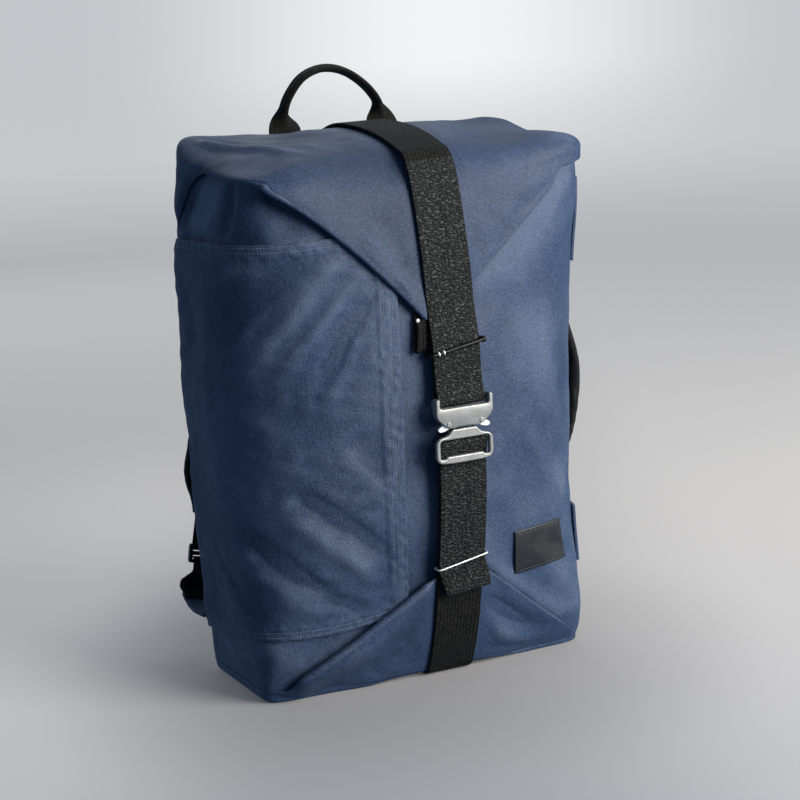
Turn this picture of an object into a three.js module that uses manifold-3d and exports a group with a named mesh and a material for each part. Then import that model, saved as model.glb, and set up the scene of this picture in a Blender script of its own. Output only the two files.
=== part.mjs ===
// Canvas backpack that closes like a wrapped parcel: a hollow sack, a hood folded over its mouth and down
// the front, a base fold that comes up to meet it, and one wide strap with a metal quick-release buckle.
// Millimetres. +X is the bag's left-to-right as seen from the front, +Y runs from front to back, +Z is up,
// and the origin is on the floor under the middle of the base.
import * as THREE from 'three';
import { mergeVertices } from 'three/addons/utils/BufferGeometryUtils.js';
import Module from 'manifold-3d';

const wasm = await Module();
wasm.setup();

// Driving dimensions
const CANVAS = 2; // wall of the sack, hood and base fold
const POCKET_WALL = 1.6;
const GAP = 0.6; // air between neighbouring pieces
const SACK_FLOOR = 6.2;
const MOUTH = 452; // rim of the sack
const STRAP = { width: 45, thick: 2.2 };
const FOLD_STAND_OFF = 7.6; // outer face of the front folds above the sack, so that the pocket fits under them
const SKIRT_STAND_OFF = 3; // outer face of the hood's skirt elsewhere
const DEGREE = Math.PI / 180;

// Plan sections of the sack from floor to mouth: half widths, reach to front and back, and how square the front
// and back corners are, where 2 is an ellipse and 8 nearly a box.
const SECTIONS = [
  { z: 5, left: 156, right: 158, belly: 62, back: 61, square: 15, backSquare: 15 },
  { z: 16, left: 158, right: 161, belly: 68, back: 63, square: 12, backSquare: 14 },
  { z: 45, left: 160, right: 164, belly: 80, back: 66, square: 7, backSquare: 11 },
  { z: 90, left: 163, right: 165, belly: 92, back: 69, square: 4.2, backSquare: 9 },
  { z: 150, left: 166, right: 166, belly: 104, back: 71, square: 3, backSquare: 8 },
  { z: 230, left: 168, right: 168, belly: 111, back: 72, square: 2.6, backSquare: 8 },
  { z: 310, left: 169, right: 172, belly: 111, back: 72, square: 2.6, backSquare: 8 },
  { z: 380, left: 168, right: 173, belly: 105, back: 70, square: 3.2, backSquare: 9 },
  { z: 430, left: 163, right: 170, belly: 97, back: 67, square: 5.4, backSquare: 11 },
  { z: 464, left: 157, right: 166, belly: 88, back: 64, square: 9, backSquare: 13 },
];

// Lower rim of the hood by angle from the front; the apron in front of the corners has its own straight edges.
const HOOD_RIM = [
  { angle: 57, z: 444 },
  { angle: 76, z: 451 },
  { angle: 98, z: 436 },
  { angle: 110, z: 408 },
  { angle: 122, z: 440 },
  { angle: 140, z: 450 },
  { angle: 180, z: 450 },
];
const HOOD_APRON = { tipX: -6, tipHalf: 9, tipZ: 331, cornerX: 146, cornerZ: 447, angle: 58 };
const BASE_APRON = { tipX: 18, tipHalf: 20, tipZ: 103, cornerX: 152, cornerZ: 12, angle: 67 };
const BASE_RIM = 12; // height of the base fold beside and behind the front apron

// Top of the hood from front to back: its height along the middle and along its left and right edges.
const HOOD_TOP = [
  { y: -96, middle: 463, left: 469, right: 467 },
  { y: -70, middle: 472, left: 470, right: 468 },
  { y: -35, middle: 479, left: 470, right: 467 },
  { y: 5, middle: 481, left: 470, right: 467 },
  { y: 40, middle: 477.5, left: 475, right: 471.5 },
  { y: 68, middle: 469, left: 483, right: 478 },
];
const BASE_ARCH = { height: 3.5, flatHalf: 42, end: 86 }; // room under the base for the strap

// Where the hood's edge sinks in beside the apron, as a depth on the sack.
const TUCK = {
  depth: 7,
  rightDepth: 1.5,
  frontAngle: 38,
  sideAngle: 52,
  endAngle: 92,
  stopAngle: 107,
  fromZ: 398,
  toZ: 438,
};

// Soft folds of the side pocket, each a line on the sack from one angle and height to another.
const FOLDS = [
  { angle: 41, z: 394, toAngle: 70, toZ: 304, width: 13, height: 3.4 },
  { angle: 32, z: 376, toAngle: 62, toZ: 288, width: 12, height: 2.6 },
  { angle: 58, z: 188, toAngle: 27, toZ: 128, width: 13, height: -3.2 },
  { angle: 62, z: 160, toAngle: 34, toZ: 100, width: 12, height: 2.6 },
  { angle: 76, z: 148, toAngle: 48, toZ: 92, width: 12, height: -3.6 },
];

// Side pocket: from its hem in front to the back edge, between sloping seams.
const POCKET = { hemAngle: 19.5, backAngle: 107, hem: 18, hemThick: 0.9, ease: 1.5, clear: 0.9 };
const POCKET_SEAMS = [
  { angle: 19, low: 72, high: 406 },
  { angle: 45, low: 64, high: 405 },
  { angle: 75, low: 59, high: 402 },
  { angle: 107, low: 44, high: 396 },
];

// Heights along the front strap
const BUCKLE_Z = 244;
const KEEPER_UPPER_Z = 305;
const KEEPER_LOWER_Z = 113;
const KEEPER_TILT = 10;
const TAIL_END_Z = 85;
const TAIL_SWING = 3.5; // the free end leans to the right
const STRAP_INNER = FOLD_STAND_OFF + GAP + STRAP.thick / 2; // middle of the layer next to the sack
const STRAP_OUTER = STRAP_INNER + STRAP.thick + 0.8; // middle of the layer folded back over it
const BAR = { half: 1.4, out: STRAP_INNER + 3.2 }; // bars that the strap loops round
const STRAP_LEAN = [
  { z: 0, x: 17 },
  { z: 100, x: 14.5 },
  { z: 180, x: 12 },
  { z: 260, x: 10 },
  { z: 330, x: 8 },
  { z: 475, x: 3 },
];

// Steps round one half of the sack, hood and base, closest at the corners.
const HALF_STEPS = [
  9, 18, 27, 36, 45, 53, 59, 63, 67, 71, 78, 90, 100, 106, 109.5, 112.5, 116, 122, 132, 146, 163,
];
const ACROSS_X = new THREE.Vector3(1, 0, 0);
const ACROSS_Y = new THREE.Vector3(0, 1, 0);

const material = (color, roughness, metalness = 0) =>
  new THREE.MeshStandardMaterial({ color, roughness, metalness });
const MATERIALS = {
  canvas: material(0x2c3a58, 0.8),
  webbing: material(0x191a19, 0.75),
  padding: material(0x141516, 0.85),
  patch: material(0x2b2d2f, 0.6),
  alloy: material(0xa9adab, 0.38, 1),
  steel: material(0xdfe2e2, 0.2, 1),
  blackMetal: material(0x0d0e0f, 0.35, 0.8),
};

// Tables and small sums

const clamp = THREE.MathUtils.clamp;
const lerp = THREE.MathUtils.lerp;
const smooth = THREE.MathUtils.smoothstep;

// Reads one column of a table where its key has a value, on a smooth curve through the rows.
function column(table, key, value, name) {
  const last = table.length - 1;
  const found = table.findIndex((row) => row[key] > value);
  const i = found === -1 ? last : Math.max(found, 1);
  const [a, b] = [table[i - 1], table[i]];
  const before = table[Math.max(i - 2, 0)];
  const after = table[Math.min(i + 1, last)];
  const span = b[key] - a[key];
  const t = clamp((value - a[key]) / span, 0, 1);
  const slopeA = ((b[name] - before[name]) / (b[key] - before[key])) * span;
  const slopeB = ((after[name] - a[name]) / (after[key] - a[key])) * span;
  const ends = lerp(a[name], b[name], t * t * (3 - 2 * t));
  return ends + t * (1 - t) * ((1 - t) * slopeA - t * slopeB);
}

const strapX = (z) => column(STRAP_LEAN, 'z', z, 'x');

// The sack's own surface

// Distance from the axis to the sack; the angle is 0 in front and 90 on the left.
function sackRadius(angle, z) {
  const across = Math.sin(angle * DEGREE);
  const along = Math.cos(angle * DEGREE);
  const half = column(SECTIONS, 'z', z, across > 0 ? 'left' : 'right');
  const reach = column(SECTIONS, 'z', z, along > 0 ? 'belly' : 'back');
  const n = column(SECTIONS, 'z', z, along > 0 ? 'square' : 'backSquare');
  return (Math.abs(across / half) ** n + Math.abs(along / reach) ** n) ** (-1 / n);
}

function onSack(angle, z) {
  const r = sackRadius(angle, z);
  return new THREE.Vector3(-r * Math.sin(angle * DEGREE), -r * Math.cos(angle * DEGREE), z);
}

function sackNormal(angle, z) {
  const round = onSack(angle + 1, z).sub(onSack(angle - 1, z));
  const up = onSack(angle, z + 2).sub(onSack(angle, z - 2));
  return round.cross(up).normalize().negate();
}

const offSack = (angle, z, out) => onSack(angle, z).addScaledVector(sackNormal(angle, z), out);

// The front face's y at a place across and up.
function frontY(x, z, out) {
  const half = column(SECTIONS, 'z', z, x < 0 ? 'left' : 'right');
  const n = column(SECTIONS, 'z', z, 'square');
  return -column(SECTIONS, 'z', z, 'belly') * (1 - Math.abs(x / half) ** n) ** (1 / n) - out;
}

// Depth of the tuck beside the hood's apron.
function tuckAt(angle, z) {
  const a = Math.abs(angle);
  const round = smooth(a, TUCK.frontAngle, TUCK.sideAngle) * (1 - smooth(a, TUCK.endAngle, TUCK.stopAngle));
  return (angle > 0 ? TUCK.depth : TUCK.rightDepth) * round * smooth(z, TUCK.fromZ, TUCK.toZ);
}

// Height of the soft folds at a place on the pocket.
function foldsAt(angle, z) {
  const nominalRadius = 140;
  const arc = (degrees) => degrees * DEGREE * nominalRadius;
  return FOLDS.reduce((sum, fold) => {
    const start = new THREE.Vector2(arc(fold.angle), fold.z);
    const run = new THREE.Vector2(arc(fold.toAngle), fold.toZ).sub(start);
    const here = new THREE.Vector2(arc(angle), z).sub(start);
    const along = clamp(here.dot(run) / run.lengthSq(), 0, 1);
    const away = here.addScaledVector(run, -along).length();
    const fade = smooth(along, 0, 0.2) * (1 - smooth(along, 0.75, 1)) * 0.8 + 0.2;
    return sum + fold.height * fade * Math.exp(-((away / fold.width) ** 2));
  }, 0);
}

// Solids from rows of points

// Joins a list of points and triangles as a closed geometry with its faces outwards.
function closedGeometry(points, triangles) {
  const volume = triangles.reduce((sum, [a, b, c]) => {
    return sum + points[a].dot(points[b].clone().cross(points[c]));
  }, 0);
  const turned = volume < 0 ? triangles.map(([a, b, c]) => [a, c, b]) : triangles;
  const geometry = new THREE.BufferGeometry().setFromPoints(points);
  geometry.setIndex(turned.flat());
  geometry.computeVertexNormals();
  return geometry;
}

// Triangles between two rows of point numbers.
function between(rowA, rowB, closed) {
  const count = closed ? rowA.length : rowA.length - 1;
  return Array.from({ length: count }, (_, i) => {
    const j = (i + 1) % rowA.length;
    return [
      [rowA[i], rowA[j], rowB[j]],
      [rowA[i], rowB[j], rowB[i]],
    ];
  }).flat();
}

const middleOf = (points) =>
  points.reduce((sum, p) => sum.add(p), new THREE.Vector3()).divideScalar(points.length);

// A solid through rings of points, closed by flat ends.
function loft(rings) {
  const size = rings[0].length;
  const numbers = rings.map((ring, r) => ring.map((_, i) => r * size + i));
  const points = rings.flat();
  const triangles = numbers.slice(1).flatMap((row, r) => between(numbers[r], row, true));
  for (const [row, isStart] of [[numbers[0], true], [numbers.at(-1), false]]) {
    const hub = points.push(middleOf(row.map((n) => points[n]))) - 1;
    row.forEach((n, i) => {
      const next = row[(i + 1) % size];
      triangles.push(isStart ? [hub, next, n] : [hub, n, next]);
    });
  }
  return closedGeometry(points, triangles);
}

// A cloth wall: rows of points on its outer face, and its thickness inwards. A bowl or a hood has closed rows
// that begin round its pole and run up or down from there; a panel has open rows.
function cloth(rows, thickness, kind) {
  const round = kind !== 'panel';
  const outward = kind === 'bowl' ? -1 : 1;
  const size = rows[0].length;
  const across = (row, i) => {
    const ahead = round ? (i + 1) % size : Math.min(i + 1, size - 1);
    const behind = round ? (i + size - 1) % size : Math.max(i - 1, 0);
    return row[ahead].clone().sub(row[behind]);
  };
  const inner = rows.map((row, r) =>
    row.map((point, i) => {
      const down = rows[Math.min(r + 1, rows.length - 1)][i].clone().sub(rows[Math.max(r - 1, 0)][i]);
      const normal = across(row, i).cross(down).normalize().multiplyScalar(outward);
      const wall = typeof thickness === 'function' ? thickness(r, i) : thickness;
      return point.clone().addScaledVector(normal, -wall);
    }),
  );
  const points = [...rows.flat(), ...inner.flat()];
  const number = (face) => rows.map((row, r) => row.map((_, i) => (face * rows.length + r) * size + i));
  const [outside, inside] = [number(0), number(1)];
  const triangles = rows.slice(1).flatMap((_, r) => [
    ...between(outside[r], outside[r + 1], round),
    ...between(inside[r + 1], inside[r], round),
  ]);
  triangles.push(...between(outside.at(-1), inside.at(-1), round));
  if (round) {
    for (const [row, flip] of [[outside[0], false], [inside[0], true]]) {
      const hub = points.push(middleOf(row.map((n) => points[n]))) - 1;
      row.forEach((n, i) => {
        const next = row[(i + 1) % size];
        triangles.push(flip ? [hub, n, next] : [hub, next, n]);
      });
    }
  } else {
    triangles.push(...between(inside[0], outside[0], false));
    const side = (face, i) => face.map((row) => row.at(i));
    triangles.push(...between(side(outside, 0), side(inside, 0), false));
    triangles.push(...between(side(inside, -1), side(outside, -1), false));
  }
  return closedGeometry(points, triangles);
}

// A strip with a rectangular section along a path. Each stop has a place, the way across, a width and a
// thickness, and the strip's face lies square to both its run and the way across.
function strip(stops) {
  const rings = stops.map((stop, i) => {
    const from = stops[Math.max(i - 1, 0)].at;
    const to = stops[Math.min(i + 1, stops.length - 1)].at;
    const out = to.clone().sub(from).cross(stop.across).normalize();
    const corner = (side, face) =>
      stop.at
        .clone()
        .addScaledVector(stop.across, (side * stop.width) / 2)
        .addScaledVector(out, (face * stop.thick) / 2);
    return [corner(-1, -1), corner(1, -1), corner(1, 1), corner(-1, 1)];
  });
  return loft(rings);
}

// Evenly spaced stops on a smooth curve through a short table of x, y, z, width and thick.
function stopsThrough(table, count, across) {
  const curve = new THREE.CatmullRomCurve3(table.map((row) => new THREE.Vector3(row.x, row.y, row.z)));
  const read = (name, t) => {
    const place = t * (table.length - 1);
    const i = Math.min(Math.floor(place), table.length - 2);
    return lerp(table[i][name], table[i + 1][name], smooth(place - i, 0, 1));
  };
  return Array.from({ length: count + 1 }, (_, i) => {
    const t = i / count;
    return { at: curve.getPoint(t), across, width: read('width', t), thick: read('thick', t) };
  });
}

// Manifold solids, for cuts and joins

function solid(geometry) {
  const bare = geometry.clone();
  bare.deleteAttribute('normal');
  bare.deleteAttribute('uv');
  const merged = mergeVertices(bare, 1e-4);
  return new wasm.Manifold(
    new wasm.Mesh({
      numProp: 3,
      vertProperties: merged.attributes.position.array,
      triVerts: new Uint32Array(merged.index.array),
    }),
  );
}

function geometryOf(made) {
  const { numProp, vertProperties, triVerts } = made.getMesh();
  const position = new Float32Array((vertProperties.length / numProp) * 3);
  for (let i = 0; i * numProp < vertProperties.length; i++) {
    position.set(vertProperties.subarray(i * numProp, i * numProp + 3), i * 3);
  }
  const geometry = new THREE.BufferGeometry();
  geometry.setAttribute('position', new THREE.BufferAttribute(position, 3));
  geometry.setIndex(new THREE.BufferAttribute(new Uint32Array(triVerts), 1));
  geometry.computeVertexNormals();
  return geometry;
}

// A flat plate cut to an outline, from one depth to another along local z.
function plate(shape, low, high, curveSegments = 6) {
  const geometry = new THREE.ExtrudeGeometry(shape, { depth: high - low, bevelEnabled: false, curveSegments });
  return geometry.translate(0, 0, low);
}

const outline = (corners) => new THREE.Shape(corners.map(([x, y]) => new THREE.Vector2(x, y)));

function roundedBox(left, bottom, width, height, radius) {
  const [right, top] = [left + width, bottom + height];
  const shape = new THREE.Shape();
  shape.moveTo(left + radius, bottom);
  shape.lineTo(right - radius, bottom).quadraticCurveTo(right, bottom, right, bottom + radius);
  shape.lineTo(right, top - radius).quadraticCurveTo(right, top, right - radius, top);
  shape.lineTo(left + radius, top).quadraticCurveTo(left, top, left, top - radius);
  shape.lineTo(left, bottom + radius).quadraticCurveTo(left, bottom, left + radius, bottom);
  return shape;
}

function disc(x, y, radius, low, high) {
  const shape = new THREE.Shape().absarc(x, y, radius, 0, 2 * Math.PI, false);
  return plate(shape, low, high, 5);
}

// Pieces of canvas

const ringAngles = [-180, ...HALF_STEPS.map((angle) => -angle).reverse(), 0, ...HALF_STEPS];
const ring = (pointAt) => ringAngles.map(pointAt);

function sack() {
  const floorRing = ring((angle) => onSack(angle, SECTIONS[0].z).multiplyScalar(0.92).setZ(SACK_FLOOR));
  const heights = [8, 14, 28, 55, 95, 145, 200, 255, 310, 358, 396, 424, MOUTH];
  const rows = heights.map((z) => ring((angle) => offSack(angle, z, -tuckAt(angle, z))));
  return cloth([floorRing, ...rows], CANVAS, 'bowl');
}

// Height of an apron's edge across the front, from its blunt tip to its corners.
function apronEdge(apron, x) {
  const beside = Math.abs(x - apron.tipX) - apron.tipHalf;
  const reach = apron.cornerX - apron.tipHalf - Math.sign(x) * apron.tipX;
  return lerp(apron.tipZ, apron.cornerZ, clamp(beside / reach, 0, 1));
}

// The rim of the hood or base fold: its apron's edge in front, and another height beside and behind.
function rimAt(angle, apron, elsewhere) {
  if (Math.abs(angle) >= apron.angle) return elsewhere;
  let z = apron.tipZ;
  for (let pass = 0; pass < 4; pass++) z = apronEdge(apron, onSack(angle, z).x);
  return lerp(z, elsewhere, smooth(Math.abs(angle), apron.angle - 6, apron.angle));
}

const hoodRim = (angle) =>
  rimAt(angle, HOOD_APRON, column(HOOD_RIM, 'angle', Math.max(Math.abs(angle), HOOD_APRON.angle), 'z'));
const baseRim = (angle) => rimAt(angle, BASE_APRON, BASE_RIM);

function hoodTopZ(x, y) {
  const side = clamp(Math.abs(x) / 152, 0, 1) ** 1.6;
  const edge = column(HOOD_TOP, 'y', y, x < 0 ? 'left' : 'right');
  return lerp(column(HOOD_TOP, 'y', y, 'middle'), edge, side);
}

const frontness = (angle) => smooth(Math.cos(angle * DEGREE), 0.45, 0.75);
const standOff = (angle) => lerp(SKIRT_STAND_OFF, FOLD_STAND_OFF, frontness(angle));

// The hood from the middle of its top, over a rounded edge and down its skirt.
function hoodPoint(angle, row) {
  const radius = lerp(8, 20, frontness(angle) * (1 - smooth(Math.abs(angle), 20, 55)));
  const edge = offSack(angle, MOUTH - 6, standOff(angle));
  const spread = Math.hypot(edge.x, edge.y);
  if (row.share !== undefined) {
    const flat = edge.clone().multiplyScalar(row.share * (1 - radius / spread));
    return flat.setZ(hoodTopZ(flat.x, flat.y));
  }
  const bendEnd = hoodTopZ(edge.x, edge.y) - radius;
  if (row.bend !== undefined) {
    const turn = row.bend * 90 * DEGREE;
    const bent = edge.clone().multiplyScalar(1 - (radius / spread) * (1 - Math.sin(turn)));
    return bent.setZ(bendEnd + radius * Math.cos(turn));
  }
  const z = lerp(bendEnd, hoodRim(angle), row.skirt);
  return offSack(angle, z, standOff(angle));
}

const HOOD_ROWS = [
  ...[0.35, 0.7, 1].map((share) => ({ share })),
  ...[0.35, 0.7].map((bend) => ({ bend })),
  ...[0.02, 0.16, 0.32, 0.48, 0.66, 0.84, 1].map((skirt) => ({ skirt })),
];
const hood = () => cloth(HOOD_ROWS.map((row) => ring((angle) => hoodPoint(angle, row))), CANVAS, 'hood');

function baseZ(x) {
  return BASE_ARCH.height * (1 - smooth(Math.abs(x - BASE_APRON.tipX), BASE_ARCH.flatHalf, BASE_ARCH.end));
}

// The base fold from the middle of the floor, round its edge and up to its rim.
function basePoint(angle, row) {
  const radius = 7;
  const edge = offSack(angle, radius + 1, standOff(angle));
  const spread = Math.hypot(edge.x, edge.y);
  if (row.share !== undefined) {
    const flat = edge.clone().multiplyScalar(row.share * (1 - radius / spread));
    return flat.setZ(baseZ(flat.x));
  }
  if (row.bend !== undefined) {
    const turn = row.bend * 90 * DEGREE;
    const bent = edge.clone().multiplyScalar(1 - (radius / spread) * (1 - Math.sin(turn)));
    return bent.setZ(baseZ(bent.x) * (1 - row.bend) + radius * (1 - Math.cos(turn)));
  }
  const z = lerp(radius + 1, baseRim(angle), row.skirt);
  return offSack(angle, z, standOff(angle));
}

const BASE_ROWS = [
  ...[0.45, 1].map((share) => ({ share })),
  ...[0.4, 0.75].map((bend) => ({ bend })),
  ...[0.01, 0.25, 0.5, 0.75, 1].map((skirt) => ({ skirt })),
];
const baseFold = () => cloth(BASE_ROWS.map((row) => ring((angle) => basePoint(angle, row))), CANVAS, 'bowl');

// A patch of cloth that lies on the sack between two angles and two heights.
function patch({ fromAngle, toAngle, lowZ, highZ, out, thick, columns, rows }) {
  const grid = Array.from({ length: rows + 1 }, (_, r) =>
    Array.from({ length: columns + 1 }, (_, c) => {
      const angle = lerp(fromAngle, toAngle, c / columns);
      return offSack(angle, lerp(highZ, lowZ, r / rows), out + thick);
    }),
  );
  return cloth(grid, thick, 'panel');
}

// The side pocket: a curved panel with a doubled hem along its open front edge.
function sidePocket() {
  const [columns, rows] = [19, 18];
  const hemColumn = 2;
  const angleOf = (c) => {
    const hemEnd = POCKET.hemAngle + POCKET.hem / 115 / DEGREE;
    if (c <= hemColumn) return lerp(POCKET.hemAngle, hemEnd, c / hemColumn);
    return lerp(hemEnd, POCKET.backAngle, (c - hemColumn) / (columns - hemColumn));
  };
  const hemExtra = (c) => (c <= hemColumn ? POCKET.hemThick : 0);
  const grid = Array.from({ length: rows + 1 }, (_, r) =>
    Array.from({ length: columns + 1 }, (_, c) => {
      const angle = angleOf(c);
      const low = column(POCKET_SEAMS, 'angle', angle, 'low');
      const high = column(POCKET_SEAMS, 'angle', angle, 'high');
      const z = lerp(high, low, r / rows);
      const soft = foldsAt(angle, z) * smooth(angle, POCKET.hemAngle + 4, POCKET.hemAngle + 12);
      const ease = (POCKET.ease + soft) * smooth(Math.min(high - z, z - low), -8, 22);
      const clear = POCKET.clear + Math.max(ease, 0);
      return offSack(angle, z, clear - tuckAt(angle, z) + POCKET_WALL + hemExtra(c));
    }),
  );
  return cloth(grid, (r, c) => POCKET_WALL + hemExtra(c), 'panel');
}

// Front strap and its buckle

// A stop of the front strap at a height, on a layer at some distance from the sack. It runs straight by the
// buckle.
function strapStop(z, out) {
  const x = strapX(z);
  const straight = 1 - smooth(Math.abs(z - BUCKLE_Z), 42, 80);
  const y = lerp(frontY(x, z, out), frontY(x, BUCKLE_Z, out), straight);
  return { at: new THREE.Vector3(x, y, z), across: ACROSS_X, ...STRAP };
}

// The strap's turn round a bar of the buckle, from its outer layer to its inner one.
function turnRound(barZ, goesUnder) {
  const radius = BAR.out - STRAP_INNER;
  const sign = goesUnder ? -1 : 1;
  return [90, 60, 30, 0, -30, -60, -90].map((turn) => {
    const out = BAR.out + radius * Math.sin(turn * DEGREE);
    const z = barZ + sign * radius * Math.cos(turn * DEGREE);
    return strapStop(z, out);
  });
}

const SOCKET_BAR_Y = 15.5; // bars above and below the buckle's middle
const TONGUE_BAR_Y = -21.5;

function strapUpper() {
  const stops = [];
  const lift = 1.6 * GAP + 0.6 + STRAP.thick / 2;
  const topRows = HOOD_ROWS.filter((row) => row.skirt === undefined);
  const overBack = topRows.slice(0, 5).reverse().map((row) => hoodPoint(180, row));
  const overFront = [...topRows, ...HOOD_ROWS.slice(topRows.length, -2)].map((row) => hoodPoint(0, row));
  const ridge = [...overBack, ...overFront];
  ridge.forEach((point, i) => {
    const run = ridge[Math.min(i + 1, ridge.length - 1)].clone().sub(ridge[Math.max(i - 1, 0)]);
    const out = run.cross(ACROSS_X).normalize();
    const at = point.clone().addScaledVector(out, lift).setX(strapX(point.z));
    stops.push({ at, across: ACROSS_X, ...STRAP });
  });
  const barZ = BUCKLE_Z + SOCKET_BAR_Y;
  for (const [z, out] of [[338, STRAP_INNER], [322, 10.8], [310, STRAP_OUTER], [286, STRAP_OUTER]]) {
    stops.push(strapStop(z, out));
  }
  stops.push(strapStop(barZ + 14, STRAP_OUTER + 0.5), strapStop(barZ + 7, STRAP_OUTER + 2));
  stops.push(...turnRound(barZ, true));
  for (const z of [barZ + 8, 282, 300, 312]) stops.push(strapStop(z, STRAP_INNER));
  return strip(stops);
}

function strapLower() {
  const lift = GAP + STRAP.thick / 2;
  const under = [34, 10, -20, -44].map((y) => new THREE.Vector3(0, y, STRAP.thick / 2));
  const rounding = BASE_ROWS.slice(2).map((row) => basePoint(0, row));
  const climb = rounding.map((point, i) => {
    const run = (rounding[i + 1] ?? point).clone().sub(rounding[i - 1] ?? point);
    const out = ACROSS_X.clone().cross(run).normalize();
    return point.clone().addScaledVector(out, lift);
  });
  const stops = [...under, ...climb.slice(0, -1)].map((at) => ({
    at: at.setX(strapX(at.z)).setZ(Math.max(at.z, STRAP.thick / 2)),
    across: ACROSS_X,
    ...STRAP,
  }));
  const barZ = BUCKLE_Z + TONGUE_BAR_Y;
  for (const z of [106, 130, 160, 190, barZ - 8]) stops.push(strapStop(z, STRAP_INNER));
  stops.push(...turnRound(barZ, false).reverse());
  stops.push(strapStop(barZ - 7, STRAP_OUTER + 1.6), strapStop(barZ - 14, STRAP_OUTER));
  for (const z of [180, 145, 112]) stops.push(strapStop(z, STRAP_OUTER));
  stops.push(strapStop(98, STRAP_OUTER + 1.5), strapStop(TAIL_END_Z, STRAP_OUTER + 4));
  stops.slice(-2).forEach((stop, i) => stop.at.setX(stop.at.x + TAIL_SWING * (i + 1)));
  return strip(stops);
}

// A wire keeper round both layers of the strap, seen from above as a flat frame.
function keeper(z, wire) {
  const inside = { width: STRAP.width + 3, depth: STRAP_OUTER - STRAP_INNER + STRAP.thick + 2.8 };
  const [width, depth] = [inside.width + 2 * wire, inside.depth + 2 * wire];
  const frame = roundedBox(-width / 2, -wire, width, depth, 1.5);
  frame.holes.push(roundedBox(-inside.width / 2, 0, inside.width, inside.depth, 0.6));
  const geometry = plate(frame, -wire / 2, wire / 2, 2).rotateY(-KEEPER_TILT * DEGREE);
  const x = strapX(z);
  return geometry.translate(x, strapStop(z, STRAP_OUTER + STRAP.thick / 2 + 1.4).at.y, z);
}

// Depths of the buckle's layers out from the sack
const SOCKET_BACK = STRAP_INNER + 3.7;
const SOCKET = {
  back: SOCKET_BACK,
  cavityBack: SOCKET_BACK + 2.2,
  cavityFront: SOCKET_BACK + 6,
  front: SOCKET_BACK + 8,
};
const TONGUE = {
  back: SOCKET_BACK + 2.6,
  front: SOCKET_BACK + 5.6,
  frameBack: SOCKET_BACK + 2,
  frameFront: SOCKET_BACK + 6.4,
};
const PIN = { x: 15.7, y: -2.6, radius: 1.5, head: 2.1, hole: 1.85 };
const SLOT_HALF = 23.6;

function buckleSocket() {
  const body = outline([
    [-27, 18], [-27, 5], [-24.5, 1], [-17.5, -5.2], [-13, -6.4], [-6, -5.6], [6, -5.6], [13, -6.4],
    [17.5, -5.2], [24.5, 1], [27, 5], [27, 18], [25.6, 19.4], [SLOT_HALF, 19.4], [SLOT_HALF, 11.4],
    [21.8, 9.8], [-21.8, 9.8], [-SLOT_HALF, 11.4], [-SLOT_HALF, 19.4], [-25.6, 19.4],
  ]);
  const cavity = outline([
    [-30, -12], [30, -12], [30, 1.2], [19, 1.2], [19, 5.5], [17.5, 8.3], [-17.5, 8.3], [-19, 5.5], [-19, 1.2],
    [-30, 1.2],
  ]);
  const ear = (side) => roundedBox(side > 0 ? SLOT_HALF : -27, SOCKET_BAR_Y - 2.4, 27 - SLOT_HALF, 4.8, 0.8);
  const bar = roundedBox(-SLOT_HALF - 1, SOCKET_BAR_Y - BAR.half, 2 * SLOT_HALF + 2, 2 * BAR.half, 0.7);
  let made = solid(plate(body, SOCKET.back, SOCKET.front))
    .subtract(solid(plate(cavity, SOCKET.cavityBack, SOCKET.cavityFront)))
    .add(solid(plate(bar, BAR.out - BAR.half, BAR.out + BAR.half)));
  for (const side of [-1, 1]) {
    made = made
      .add(solid(plate(ear(side), BAR.out - BAR.half, SOCKET.back + 1)))
      .add(solid(disc(side * PIN.x, PIN.y, PIN.radius, SOCKET.back + 0.5, SOCKET.front - 0.5)))
      .add(solid(disc(side * PIN.x, PIN.y, PIN.head, SOCKET.front - 0.5, SOCKET.front + 0.5)));
  }
  return geometryOf(made);
}

function buckleTongue() {
  const frame = outline([
    [-11.2, -8], [-16.5, -13.4], [-23.5, -14.4], [-27.3, -18], [-27.3, -32.5], [-24.5, -36.4], [-14, -37.4],
    [14, -37.4], [24.5, -36.4], [27.3, -32.5], [27.3, -18], [23.5, -14.4], [16.5, -13.4], [11.2, -8],
  ]);
  frame.holes.push(
    outline([
      [-SLOT_HALF, -18.2], [-22, -16.6], [22, -16.6], [SLOT_HALF, -18.2], [SLOT_HALF, -33], [19, -33],
      [17, -31], [-17, -31], [-19, -33], [-SLOT_HALF, -33],
    ]),
  );
  const blade = outline([
    [-11.2, -9], [-8, -5], [-8, 5.9], [-10.4, 5.9], [-9, 7.9], [9, 7.9], [10.4, 5.9], [8, 5.9], [8, -5],
    [11.2, -9],
  ]);
  const bar = roundedBox(-SLOT_HALF - 1.5, TONGUE_BAR_Y - BAR.half, 2 * SLOT_HALF + 3, 2 * BAR.half, 0.7);
  const overBar = roundedBox(-SLOT_HALF, TONGUE_BAR_Y - 3, 2 * SLOT_HALF, 6, 0.5);
  const made = solid(plate(frame, TONGUE.frameBack, TONGUE.frameFront))
    .add(solid(plate(blade, TONGUE.back, TONGUE.front)))
    .add(solid(plate(bar, BAR.out - BAR.half, TONGUE.frameBack + 0.4)))
    .subtract(solid(plate(overBar, BAR.out + BAR.half, TONGUE.frameFront)));
  return geometryOf(made);
}

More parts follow.
